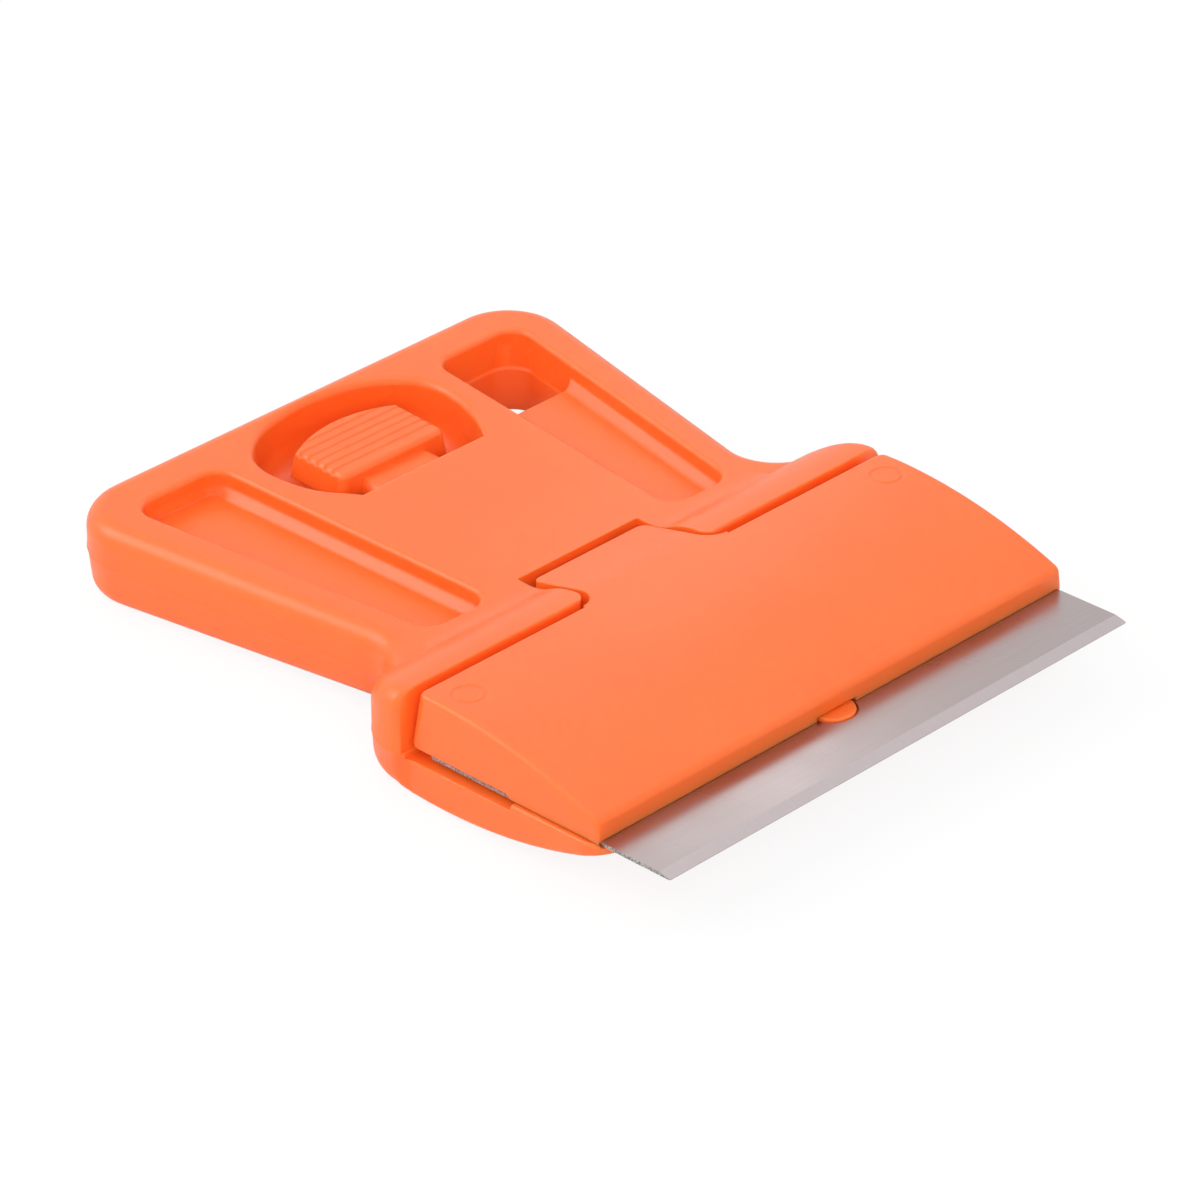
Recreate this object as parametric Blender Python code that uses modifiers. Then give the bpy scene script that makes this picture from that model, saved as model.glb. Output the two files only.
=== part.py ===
"""Small moulded hand scraper with a sliding clamp cover and a thumb latch.

Frame: X runs along the blade's edge, +Y points back towards the handle, +Z is up.
The scraper rests flat on Z = 0.  Places along Y are measured from the cutting edge,
and the empty "scraper_frame" then puts the middle of the overall length at Y = 0.
"""
import math

import bmesh
import bpy
from mathutils import Matrix

MM = 0.001
UNIT = 1

# Whole scraper
OVERALL_LENGTH = 55.3 * MM
EDGE_HEIGHT = 4.53 * MM
BLADE_TILT_DEG = 3.43

# Blade: a flat steel plate, ground along its front edge, with one locating hole
BLADE_WIDTH = 40.0 * MM
BLADE_DEPTH = 20.4 * MM
BLADE_THICKNESS = 0.25 * MM
BLADE_GRIND = 0.9 * MM
BLADE_EDGE_LAND = 0.04 * MM
BLADE_CORNER = 0.3 * MM

# Locating post of the jaw, which stands in the blade's hole
POST_RADIUS = 1.44 * MM
POST_SETBACK = 6.05 * MM
POST_PROUD = 0.2 * MM

# Clearances
SEAT_GAP = 0.1 * MM
SKIRT_GAP = 0.15 * MM
RUNNING_GAP = 0.3 * MM

# Travel of the cover, forward along the blade's plane
COVER_TRAVEL = 2.6 * MM

# Lower jaw
RAIL_WIDTH = 0.6 * MM
JAW_FRONT = 4.5 * MM
JAW_CORNER = 2.8 * MM
JAW_NOSE = 0.2 * MM
JAW_NOSE_LENGTH = 2.5 * MM
BELLY_HEIGHT = 0.36 * MM
BELLY_LEAD = 1.05 * MM
BELLY_RISE = 2.711 * MM
RAIL_RISE = 0.05 * MM
RAIL_LENGTH = 8.3 * MM
WINDOW_DROP = 0.3 * MM
WINDOW_INSET = 1.2 * MM

# Rim behind the cover
BLADE_REAR_GAP = 1.65 * MM
RIM_HEIGHT = 7.59 * MM
RIM_LAND = 0.6 * MM
RIM_RADIUS = 5.28 * MM
RIM_FILLET = 2.5 * MM
RIM_BLEND = 0.04 * MM
RIM_EDGE = 0.3 * MM
RIM_END_ROUND = 1.7 * MM
HEAD_FOOT_ROUND = 2.0 * MM
HEAD_OVERHANG = 0.8 * MM
HEAD_LENGTH = 4.75 * MM
HEAD_CORNER = 4.6 * MM
SHOULDER_LEAD = 1.15 * MM
SHOULDER_LENGTH = 1.0 * MM
SHOULDER_ROUND = 0.8 * MM

# Handle
HANDLE_TOP = 6.15 * MM
HANDLE_SLOPE_DEG = 2.0
NECK_HALF_WIDTH = 15.75 * MM
NECK_SETBACK = 5.75 * MM
NECK_FILLET = 3.2 * MM
HANDLE_REAR_HALF_WIDTH = 20.72 * MM
HANDLE_CORNER = 4.4 * MM
HANDLE_EDGE = 1.4 * MM
FLARE_INSET = 2.5 * MM
FLARE_SETBACK = 4.55 * MM
FLARE_ROUND = 1.6 * MM
ROOT_INSET = 1.1 * MM
ROOT_SETBACK = 2.55 * MM
ROOT_LENGTH = 2.0 * MM

# Slot between the lobes of the rim, and the tongue's channel under the top plate
SLOT_HALF_WIDTH = 5.25 * MM
SLOT_LENGTH = 6.2 * MM
SLOT_CORNER = 1.0 * MM
SLOT_LEAD = 0.9 * MM
SLOT_FLOOR = 2.3 * MM
PLATE_THICKNESS = 0.67 * MM
CHANNEL_HALF_WIDTH = 3.45 * MM
CHANNEL_FLOOR = 2.15 * MM

# Finger well
WELL_LENGTH = 11.6 * MM
WELL_REAR_WALL = 1.3 * MM
WELL_FRONT_HALF_WIDTH = 5.29 * MM
WELL_HALF_WIDTH = 7.65 * MM
WELL_FLOOR = 2.0 * MM

# Side pockets, above and below the web, and the hanging hole
POCKET_SETBACK = 5.7 * MM
POCKET_REAR_WALL = 3.55 * MM
POCKET_FRONT_INNER = 7.77 * MM
POCKET_FRONT_OUTER = 13.17 * MM
POCKET_REAR_INNER = 9.5 * MM
POCKET_REAR_OUTER = 17.0 * MM
POCKET_DEPTH = 1.72 * MM
POCKET_WEB = 2.3 * MM
POCKET_CORNER = 1.6 * MM
POCKET_FILLET = 0.75 * MM
HOLE_LENGTH_SHARE = 0.2812
HOLE_TAPER = 0.25 * MM
HOLE_LAND = 1.3 * MM

# Clamp cover
COVER_OVERHANG = 0.3 * MM
COVER_LIP = 5.7 * MM
COVER_LIP_LEAN = 0.1 * MM
COVER_LIP_TOP = 0.8 * MM
COVER_LIP_BOTTOM = 0.45 * MM
COVER_CREST_LEAD = 4.05 * MM
COVER_CREST_HEIGHT = 7.89 * MM
COVER_LIP_DROP = 2.018 * MM
COVER_REAR_GAP = 0.3 * MM
COVER_REAR_LEAN = 0.45 * MM
COVER_CORNER = 1.0 * MM
COVER_EDGE = 0.35 * MM
SKIRT_LENGTH = 7.4 * MM
SKIRT_STEP_LENGTH = 0.5 * MM
SKIRT_STEP_RISE = 0.3 * MM
COVER_ROOT = 1.6 * MM

# Middle tab of the cover and its heel under the top plate
TAB_HALF_WIDTH = 4.8 * MM
TAB_REAR_GAP = 0.85 * MM
TAB_REAR_HEIGHT = 6.23 * MM
TAB_BREAK_SETBACK = 0.65 * MM
TAB_BREAK_HEIGHT = 7.6 * MM
TAB_BREAK_RADIUS = 5.0 * MM
TAB_CORNER = 0.5 * MM
HEEL_LENGTH = 2.2 * MM

# Thumb latch: a tongue under the top plate, and the ridged pad in the well
TONGUE_HALF_WIDTH = 3.05 * MM
TONGUE_THICKNESS = 1.1 * MM
TONGUE_GAP = 0.35 * MM
PAD_SETBACK = 2.9 * MM
PAD_SIDE_LENGTH = 4.7 * MM
PAD_ARC_RISE = 1.0 * MM
PAD_HALF_WIDTH = 4.4 * MM
PAD_TOP = 5.9 * MM
PAD_DRAFT = 0.35 * MM
PAD_EDGE = 0.3 * MM
RIDGE_COUNT = 6
RIDGE_PITCH = 0.77 * MM
RIDGE_HEIGHT = 0.13 * MM
RIDGE_FIRST = 0.56 * MM
RIDGE_FOOT_SHARE = 0.42
RIDGE_SHOULDER_SHARE = 0.36
RIDGE_CROWN_SHARE = 0.15

# How finely the arcs are cut, and the overrun of the cutters
ARC_STEP_DEG = 15.0
CROWN_STEPS = 12
BELLY_STEPS = 12
RIDGE_STEPS = 6
PAD_ARC_STEPS = 8
ARC_ROOM_SHARE = 0.999
ROUND_STEPS = 40
OVERRUN = 1.0 * MM
WELD_DISTANCE = 0.002 * MM

# Half of the finger well's rear outline: each row is a share of its half width and a
# share of its length, from the front corner to the middle of the rear.
WELL_OUTLINE_SHARES = (
    (0.775, 0.085),
    (0.86, 0.175),
    (0.94, 0.3),
    (0.988, 0.44),
    (1.0, 0.58),
    (0.955, 0.705),
    (0.86, 0.795),
    (0.72, 0.875),
    (0.52, 0.945),
    (0.27, 0.985),
    (0.0, 1.0),
)

BLADE_TILT = math.radians(BLADE_TILT_DEG)
BLADE_SLOPE = math.tan(BLADE_TILT)
ARC_STEP = math.radians(ARC_STEP_DEG)
HANDLE_SLOPE = math.radians(HANDLE_SLOPE_DEG)

# Half widths that follow the blade
JAW_HALF_WIDTH = BLADE_WIDTH / 2 + RAIL_WIDTH
COVER_HALF_WIDTH = BLADE_WIDTH / 2 + COVER_OVERHANG
HEAD_HALF_WIDTH = JAW_HALF_WIDTH + HEAD_OVERHANG
FLARE_HALF_WIDTH = HEAD_HALF_WIDTH - FLARE_INSET
ROOT_HALF_WIDTH = HEAD_HALF_WIDTH - ROOT_INSET

# Places that follow the blade's depth, through the rim's front face
RIM_FRONT = BLADE_DEPTH + BLADE_REAR_GAP
HEAD_REAR = RIM_FRONT + HEAD_LENGTH
SHOULDER_FRONT = RIM_FRONT - SHOULDER_LEAD
SHOULDER_REAR = SHOULDER_FRONT + SHOULDER_LENGTH
RAIL_REAR = JAW_FRONT + RAIL_LENGTH
BELLY_START = RIM_FRONT - BELLY_LEAD
BELLY_RUN = BELLY_START - JAW_FRONT - JAW_NOSE_LENGTH
BELLY_RADIUS = (BELLY_RUN ** 2 + BELLY_RISE ** 2) / (2 * BELLY_RISE)
ROOT_PLACE = RIM_FRONT + ROOT_SETBACK
FLARE_PLACE = RIM_FRONT + FLARE_SETBACK
NECK_PLACE = RIM_FRONT + NECK_SETBACK
SLOT_REAR = RIM_FRONT + SLOT_LENGTH
POCKET_FRONT = RIM_FRONT + POCKET_SETBACK
COVER_REAR = RIM_FRONT - COVER_REAR_GAP - COVER_REAR_LEAN
COVER_CREST = RIM_FRONT - COVER_CREST_LEAD
COVER_CROWN_RUN = COVER_CREST - COVER_LIP - COVER_LIP_LEAN
COVER_CROWN_RADIUS = (COVER_CROWN_RUN ** 2 + COVER_LIP_DROP ** 2) / (2 * COVER_LIP_DROP)
SKIRT_STEP = COVER_LIP + SKIRT_LENGTH
TAB_REAR = SLOT_REAR - TAB_REAR_GAP
TAB_BREAK = RIM_FRONT + TAB_BREAK_SETBACK

# Places that follow the handle's rear end
WELL_REAR = OVERALL_LENGTH - WELL_REAR_WALL
WELL_FRONT = WELL_REAR - WELL_LENGTH
PAD_FRONT = WELL_FRONT + PAD_SETBACK
POCKET_REAR = OVERALL_LENGTH - POCKET_REAR_WALL
HOLE_FRONT = POCKET_REAR - (POCKET_REAR - POCKET_FRONT) * HOLE_LENGTH_SHARE

# Heights of the tongue, and where it meets the heel
PLATE_UNDERSIDE = HANDLE_TOP - PLATE_THICKNESS
TONGUE_TOP = PLATE_UNDERSIDE - TONGUE_GAP
TONGUE_BOTTOM = TONGUE_TOP - TONGUE_THICKNESS
HEEL_REAR = TAB_REAR + HEEL_LENGTH
TONGUE_FRONT = HEEL_REAR + RUNNING_GAP


# Scene, collections and materials

for old_object in list(bpy.data.objects):
    bpy.data.objects.remove(old_object, do_unlink=True)

parts = bpy.data.collections.new("hand_scraper")
cutters = bpy.data.collections.new("hand_scraper_cutters")
bpy.context.scene.collection.children.link(parts)
bpy.context.scene.collection.children.link(cutters)


def make_material(name, colour, roughness, metallic):
    material = bpy.data.materials.new(name)
    material.use_nodes = True
    shader = material.node_tree.nodes["Principled BSDF"]
    shader.inputs["Base Color"].default_value = colour
    shader.inputs["Roughness"].default_value = roughness
    shader.inputs["Metallic"].default_value = metallic
    return material


body_plastic = make_material("body_plastic", (1.0, 0.19, 0.05, 1.0), 0.42, 0.0)
cover_plastic = make_material("cover_plastic", (1.0, 0.2, 0.055, 1.0), 0.42, 0.0)
latch_plastic = make_material("latch_plastic", (1.0, 0.21, 0.06, 1.0), 0.42, 0.0)
blade_steel = make_material("blade_steel", (0.5, 0.47, 0.47, 1.0), 0.3, 1.0)


# Outline helpers

def seat_height(y):
    """Height of the blade's underside at the distance y behind its edge."""
    return EDGE_HEIGHT - BLADE_SLOPE * y


def arc(centre, radius, start, end, steps=0):
    """Points along an arc about centre, from one angle to another."""
    steps = steps or max(UNIT, math.ceil(abs(end - start) / ARC_STEP))
    points = []
    for step in range(steps + UNIT):
        angle = start + (end - start) * step / steps
        x = centre[0] + radius * math.cos(angle)
        y = centre[1] + radius * math.sin(angle)
        points.append((x, y))
    return points


def corner_reach(before, corner, after):
    """Unit vectors along both sides of a corner, its half angle and its arc's reach."""
    incoming = (before[0] - corner[0], before[1] - corner[1])
    outgoing = (after[0] - corner[0], after[1] - corner[1])
    in_length = math.hypot(*incoming)
    out_length = math.hypot(*outgoing)
    incoming = (incoming[0] / in_length, incoming[1] / in_length)
    outgoing = (outgoing[0] / out_length, outgoing[1] / out_length)
    cosine = incoming[0] * outgoing[0] + incoming[1] * outgoing[1]
    half_angle = math.acos(max(-1.0, min(1.0, cosine))) / 2
    return incoming, outgoing, half_angle, corner[2] / math.tan(half_angle), out_length


def rounded(corners):
    """Closed outline whose corners (a, b, radius) are tangent arcs within their sides."""
    count = len(corners)
    bends = []
    for index, corner in enumerate(corners):
        bends.append(corner_reach(corners[index - 1], corner, corners[(index + 1) % count]))
    fits = [1.0] * count
    for index, bend in enumerate(bends):
        after = (index + 1) % count
        needed = bend[3] + bends[after][3]
        if needed > bend[4] * ARC_ROOM_SHARE:
            fit = bend[4] * ARC_ROOM_SHARE / needed
            fits[index] = min(fits[index], fit)
            fits[after] = min(fits[after], fit)
    points = []
    for (a, b, radius), (incoming, outgoing, half_angle, reach, length), fit in zip(corners, bends, fits):
        if radius <= 0:
            points.append((a, b))
            continue
        radius = radius * fit
        reach = reach * fit
        middle = radius / math.sin(half_angle)
        half_a = incoming[0] + outgoing[0]
        half_b = incoming[1] + outgoing[1]
        half_length = math.hypot(half_a, half_b)
        centre = (a + half_a / half_length * middle, b + half_b / half_length * middle)
        first = math.atan2(
            b + incoming[1] * reach - centre[1], a + incoming[0] * reach - centre[0])
        last = math.atan2(
            b + outgoing[1] * reach - centre[1], a + outgoing[0] * reach - centre[0])
        turn = (last - first + math.pi) % math.tau - math.pi
        points.extend(arc(centre, radius, first, first + turn))
    return points


def mirrored(half):
    """Whole outline from its +X half, listed from the front to the rear."""
    other = [(-row[0],) + tuple(row[1:]) for row in reversed(half) if row[0] > 0]
    return list(half) + other


# Solid helpers

def link(obj, collection):
    collection.objects.link(obj)
    return obj


def prism(name, outline, low, high, along_x=False, collection=cutters):
    """A flat outline pushed up along Z, or a (y, z) profile pushed along X."""
    curve = bpy.data.curves.new(name, "CURVE")
    curve.dimensions = "2D"
    curve.fill_mode = "BOTH"
    curve.extrude = (high - low) / 2
    spline = curve.splines.new("POLY")
    spline.points.add(len(outline) - UNIT)
    for point, (a, b) in zip(spline.points, outline):
        point.co = (a, b, 0, UNIT)
    spline.use_cyclic_u = True
    drawn = link(bpy.data.objects.new(name + "_curve", curve), cutters)
    depsgraph = bpy.context.evaluated_depsgraph_get()
    mesh = bpy.data.meshes.new_from_object(drawn.evaluated_get(depsgraph))
    bpy.data.objects.remove(drawn, do_unlink=True)
    bpy.data.curves.remove(curve)
    mesh.name = name
    middle = (low + high) / 2
    if along_x:
        turn = Matrix(((0, 0, UNIT, middle), (UNIT, 0, 0, 0), (0, UNIT, 0, 0), (0, 0, 0, UNIT)))
    else:
        turn = Matrix.Translation((0, 0, middle))
    mesh.transform(turn)
    weld(mesh)
    return link(bpy.data.objects.new(name, mesh), collection)


def weld(mesh):
    """Close the caps, merge flat triangles and point every face outwards."""
    work = bmesh.new()
    work.from_mesh(mesh)
    bmesh.ops.remove_doubles(work, verts=work.verts, dist=WELD_DISTANCE)
    bmesh.ops.dissolve_limit(
        work, angle_limit=math.radians(0.1), verts=work.verts, edges=work.edges)
    bmesh.ops.recalc_face_normals(work, faces=work.faces)
    work.to_mesh(mesh)
    work.free()


def drum(name, radius, low, high, x, y, collection=cutters):
    """An upright cylinder."""
    mesh = bpy.data.meshes.new(name)
    work = bmesh.new()
    bmesh.ops.create_cone(
        work, cap_ends=True, segments=ROUND_STEPS, radius1=radius, radius2=radius,
        depth=high - low)
    bmesh.ops.translate(work, verts=work.verts, vec=(x, y, (low + high) / 2))
    work.to_mesh(mesh)
    work.free()
    return link(bpy.data.objects.new(name, mesh), collection)


def boolean(target, tool, operation):
    """Combine tool with target; the tool stays as a hidden guide."""
    modifier = target.modifiers.new(operation.lower() + "_" + tool.name, "BOOLEAN")
    modifier.operation = operation
    modifier.object = tool
    modifier.solver = "EXACT"
    tool.hide_render = True
    tool.display_type = "WIRE"


def settle(obj):
    """Turn the modifiers of obj into its mesh."""
    depsgraph = bpy.context.evaluated_depsgraph_get()
    mesh = bpy.data.meshes.new_from_object(obj.evaluated_get(depsgraph))
    obj.modifiers.clear()
    obj.data = mesh
    weld(mesh)


def round_edges(obj, width, segments, weight_of):
    """Bevel the edges for which weight_of(edge) is above zero."""
    mesh = obj.data
    work = bmesh.new()
    work.from_mesh(mesh)
    weights = work.edges.layers.float.new("bevel_weight_edge")
    for edge in work.edges:
        if len(edge.link_faces) == 2:
            edge[weights] = weight_of(edge)
    work.to_mesh(mesh)
    work.free()
    modifier = obj.modifiers.new("round_edges", "BEVEL")
    modifier.limit_method = "WEIGHT"
    modifier.width = width
    modifier.segments = segments
    modifier.use_clamp_overlap = False
    modifier.loop_slide = True
    settle(obj)


def is_wall(face):
    return abs(face.normal.z) < 0.01


# Body: handle, rim and lower jaw in one moulding

ridge_y = RIM_FRONT + RIM_LAND
ridge_z = RIM_HEIGHT - RIM_RADIUS
fillet_rise = HANDLE_TOP + RIM_FILLET - RIM_BLEND - ridge_z
fillet_span = RIM_RADIUS + RIM_FILLET - RIM_BLEND
fillet_run = math.sqrt(fillet_span * fillet_span - fillet_rise * fillet_rise)
fillet_angle = math.atan2(fillet_rise, fillet_run)


def belly_places(first, last):
    """Places along Y at which the curved underside is drawn."""
    steps = max(UNIT, round(BELLY_STEPS * abs(last - first) / BELLY_START))
    return [first + (last - first) * step / steps for step in range(steps + UNIT)]


def head_profile():
    """Side profile of the rim and the lower jaw, as (y, z)."""
    rail = RAIL_RISE
    front = JAW_FRONT - OVERRUN
    rear = HEAD_REAR + OVERRUN
    points = [(front, seat_height(front) + rail), (RIM_FRONT, seat_height(RIM_FRONT) + rail)]
    edge_centre = (RIM_FRONT + RIM_EDGE, RIM_HEIGHT - RIM_EDGE)
    points += arc(edge_centre, RIM_EDGE, math.pi, math.pi / 2)
    points += arc((ridge_y, ridge_z), RIM_RADIUS, math.pi / 2, fillet_angle, RIDGE_STEPS)
    last_angle = math.acos((rear - ridge_y) / (RIM_RADIUS + OVERRUN))
    points += arc((ridge_y, ridge_z), RIM_RADIUS, fillet_angle, last_angle, RIDGE_STEPS)[UNIT:]
    nose_rear = JAW_FRONT + JAW_NOSE_LENGTH
    for y in belly_places(rear, BELLY_START)[:-UNIT] + belly_places(BELLY_START, nose_rear):
        drop = BELLY_RADIUS - math.sqrt(BELLY_RADIUS ** 2 - (BELLY_START - y) ** 2)
        points.append((y, BELLY_HEIGHT + drop))
    points.append((JAW_FRONT, seat_height(JAW_FRONT) + rail - JAW_NOSE))
    points.append((front, seat_height(front) + rail - JAW_NOSE))
    return points


def head_outline():
    """Plan outline of the rim and the lower jaw, as (x, y)."""
    half = [
        (JAW_HALF_WIDTH, JAW_FRONT, JAW_CORNER),
        (JAW_HALF_WIDTH, SHOULDER_FRONT, SHOULDER_ROUND),
        (HEAD_HALF_WIDTH, SHOULDER_REAR, SHOULDER_ROUND),
        (HEAD_HALF_WIDTH, HEAD_REAR, HEAD_CORNER),
    ]
    return rounded(mirrored(half))


def head_section():
    """Front view of the head, as (x, z), which rounds the ends of the rim."""
    half = [
        (HEAD_HALF_WIDTH, BELLY_HEIGHT - SEAT_GAP, HEAD_FOOT_ROUND),
        (HEAD_HALF_WIDTH, RIM_HEIGHT, RIM_END_ROUND),
    ]
    return rounded(mirrored(half))


def handle_outline():
    """Plan outline of the handle and its flared neck, as (x, y)."""
    half = [
        (ROOT_HALF_WIDTH, ROOT_PLACE - ROOT_LENGTH, 0),
        (ROOT_HALF_WIDTH, ROOT_PLACE, 0),
        (FLARE_HALF_WIDTH, FLARE_PLACE, FLARE_ROUND),
        (NECK_HALF_WIDTH, NECK_PLACE, NECK_FILLET),
        (HANDLE_REAR_HALF_WIDTH, OVERALL_LENGTH, HANDLE_CORNER),
    ]
    return rounded(mirrored(half))


handle_body = prism("handle_body", handle_outline(), 0, HANDLE_TOP, collection=parts)

# The underside rises from the rear edge towards the neck
for vertex in handle_body.data.vertices:
    if vertex.co.z < HANDLE_TOP / 2:
        vertex.co.z = (OVERALL_LENGTH - vertex.co.y) * math.tan(HANDLE_SLOPE)


def outer_edge_weight(edge):
    """One on the top and bottom edges of the handle's slab."""
    walls = [face for face in edge.link_faces if is_wall(face)]
    return 1.0 if len(walls) == 1 else 0.0


round_edges(handle_body, HANDLE_EDGE, 4, outer_edge_weight)

head_reach = HEAD_HALF_WIDTH + OVERRUN
head_block = prism("head_block", head_outline(), -OVERRUN, RIM_HEIGHT + OVERRUN)
head_profile_block = prism(
    "head_profile_block", head_profile(), -head_reach, head_reach, along_x=True)
head_section_block = prism(
    "head_section_block", head_section(), -HEAD_REAR - OVERRUN, -JAW_FRONT + OVERRUN)
head_section_block.data.transform(Matrix.Rotation(math.pi / 2, 4, "X"))
boolean(head_block, head_profile_block, "INTERSECT")
boolean(head_block, head_section_block, "INTERSECT")
settle(head_block)
boolean(handle_body, head_block, "UNION")

# Concave fillet between the rim's slope and the handle's top
fillet_centre = (ridge_y + fillet_run, ridge_z + fillet_rise)
fillet_points = arc(
    fillet_centre, RIM_FILLET, fillet_angle + math.pi, math.tau * 3 / 4, RIDGE_STEPS)
fillet_points.append((fillet_centre[0], HANDLE_TOP - RIM_EDGE))
fillet_points.append((fillet_points[0][0] - RIM_EDGE, HANDLE_TOP - RIM_EDGE))
fillet_half_width = NECK_HALF_WIDTH - HANDLE_EDGE / 2
rim_fillet = prism(
    "rim_fillet", fillet_points, -fillet_half_width, fillet_half_width, along_x=True)
boolean(handle_body, rim_fillet, "UNION")

# Bed of the blade, between the two rails of the jaw
bed_half_width = BLADE_WIDTH / 2 + SKIRT_GAP
bed_front = JAW_FRONT - OVERRUN
bed_profile = [
    (bed_front, seat_height(bed_front) - SEAT_GAP),
    (RIM_FRONT - RIM_EDGE / 2, seat_height(RIM_FRONT) - SEAT_GAP),
    (RIM_FRONT - RIM_EDGE / 2, RIM_HEIGHT),
    (bed_front, RIM_HEIGHT),
]
bed_cutter = prism("bed_cutter", bed_profile, -bed_half_width, bed_half_width, along_x=True)
boolean(handle_body, bed_cutter, "DIFFERENCE")

# Windows at both ends of the jaw, where the blade's ends can be seen
window_profile = [
    (RAIL_REAR, seat_height(RAIL_REAR) - WINDOW_DROP),
    (RIM_FRONT - RIM_EDGE / 2, seat_height(RIM_FRONT) - WINDOW_DROP),
    (RIM_FRONT - RIM_EDGE / 2, RIM_HEIGHT),
    (RAIL_REAR, RIM_HEIGHT),
]
window_inner = JAW_HALF_WIDTH - WINDOW_INSET
window_outer = HEAD_HALF_WIDTH + OVERRUN
for side, low, high in (("left", -window_outer, -window_inner), ("right", window_inner, window_outer)):
    window_cutter = prism(side + "_window_cutter", window_profile, low, high, along_x=True)
    boolean(handle_body, window_cutter, "DIFFERENCE")

# Slot between the lobes, open to the front and to the top
slot_front = RIM_FRONT - SLOT_LEAD
slot_half = [
    (SLOT_HALF_WIDTH + 2 * SLOT_CORNER, slot_front, 0),
    (SLOT_HALF_WIDTH + 2 * SLOT_CORNER, RIM_FRONT - RIM_EDGE, 0),
    (SLOT_HALF_WIDTH, RIM_FRONT, SLOT_CORNER),
    (SLOT_HALF_WIDTH, SLOT_REAR, RIM_EDGE),
]
slot_cutter = prism(
    "slot_cutter", rounded(mirrored(slot_half)), SLOT_FLOOR, RIM_HEIGHT + OVERRUN)
boolean(handle_body, slot_cutter, "DIFFERENCE")

# Channel of the tongue, under the top plate
channel_half = [
    (CHANNEL_HALF_WIDTH, SLOT_REAR - OVERRUN, 0),
    (CHANNEL_HALF_WIDTH, WELL_FRONT + OVERRUN, 0),
]
channel_cutter = prism(
    "channel_cutter", rounded(mirrored(channel_half)), CHANNEL_FLOOR, PLATE_UNDERSIDE)
boolean(handle_body, channel_cutter, "DIFFERENCE")

# Finger well
well_half = [(WELL_FRONT_HALF_WIDTH, WELL_FRONT)]
for width_share, length_share in WELL_OUTLINE_SHARES:
    well_half.append((WELL_HALF_WIDTH * width_share, WELL_FRONT + WELL_LENGTH * length_share))
well_cutter = prism(
    "well_cutter", mirrored(well_half), WELL_FLOOR, HANDLE_TOP + OVERRUN)
boolean(handle_body, well_cutter, "DIFFERENCE")


# Side pockets

def pocket_outline(side, rear):
    """Pocket outline on one side, ending at the distance rear behind the edge."""
    share = (rear - POCKET_FRONT) / (POCKET_REAR - POCKET_FRONT)
    inner = POCKET_FRONT_INNER + (POCKET_REAR_INNER - POCKET_FRONT_INNER) * share
    outer = POCKET_FRONT_OUTER + (POCKET_REAR_OUTER - POCKET_FRONT_OUTER) * share
    return rounded([
        (side * POCKET_FRONT_INNER, POCKET_FRONT, POCKET_CORNER),
        (side * POCKET_FRONT_OUTER, POCKET_FRONT, POCKET_CORNER),
        (side * outer, rear, POCKET_CORNER),
        (side * inner, rear, POCKET_CORNER),
    ])


def pocket_cutter(name, side, rear, floor, mouth):
    """A pocket cutter whose floor edge is rounded."""
    cutter = prism(name, pocket_outline(side, rear), min(floor, mouth), max(floor, mouth))

    def floor_weight(edge):
        level = all(abs(vert.co.z - floor) < SEAT_GAP for vert in edge.verts)
        return 1.0 if level and any(is_wall(face) for face in edge.link_faces) else 0.0

    round_edges(cutter, POCKET_FILLET, 3, floor_weight)
    return cutter


top_floor = HANDLE_TOP - POCKET_DEPTH
top_mouth = HANDLE_TOP + OVERRUN
hole_rear_limit = HOLE_FRONT - HOLE_LAND
for side, word in ((UNIT, "right"), (-UNIT, "left")):
    top_pocket = pocket_cutter(word + "_top_pocket", side, POCKET_REAR, top_floor, top_mouth)
    boolean(handle_body, top_pocket, "DIFFERENCE")
    low_rear = hole_rear_limit if side > 0 else POCKET_REAR
    low_pocket = pocket_cutter(
        word + "_low_pocket", side, low_rear, top_floor - POCKET_WEB, -OVERRUN)
    boolean(handle_body, low_pocket, "DIFFERENCE")


def hole_loft():
    """Hanging hole: a loft from its wide mouth to its narrow foot."""
    share = (HOLE_FRONT - POCKET_FRONT) / (POCKET_REAR - POCKET_FRONT)
    inner = POCKET_FRONT_INNER + (POCKET_REAR_INNER - POCKET_FRONT_INNER) * share
    outer = POCKET_FRONT_OUTER + (POCKET_REAR_OUTER - POCKET_FRONT_OUTER) * share

    def ring(inset):
        return rounded([
            (inner + inset, HOLE_FRONT, POCKET_CORNER / 2),
            (outer - inset, HOLE_FRONT, POCKET_CORNER / 2),
            (POCKET_REAR_OUTER - inset, POCKET_REAR - inset, POCKET_CORNER - inset),
            (POCKET_REAR_INNER + inset, POCKET_REAR - inset, POCKET_CORNER - inset),
        ])

    mesh = bpy.data.meshes.new("hole_cutter")
    work = bmesh.new()
    top_inset = HOLE_TAPER * POCKET_DEPTH / HANDLE_TOP
    rows = []
    for inset, z in ((HOLE_TAPER, -OVERRUN), (top_inset, HANDLE_TOP - POCKET_DEPTH / 2)):
        rows.append([work.verts.new((x, y, z)) for x, y in ring(inset)])
    count = len(rows[0])
    for index in range(count):
        after = (index + UNIT) % count
        work.faces.new((rows[0][index], rows[0][after], rows[1][after], rows[1][index]))
    work.faces.new(rows[0])
    work.faces.new(rows[1])
    work.to_mesh(mesh)
    work.free()
    weld(mesh)
    return link(bpy.data.objects.new("hole_cutter", mesh), cutters)


hole_cutter = hole_loft()
boolean(handle_body, hole_cutter, "DIFFERENCE")

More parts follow.
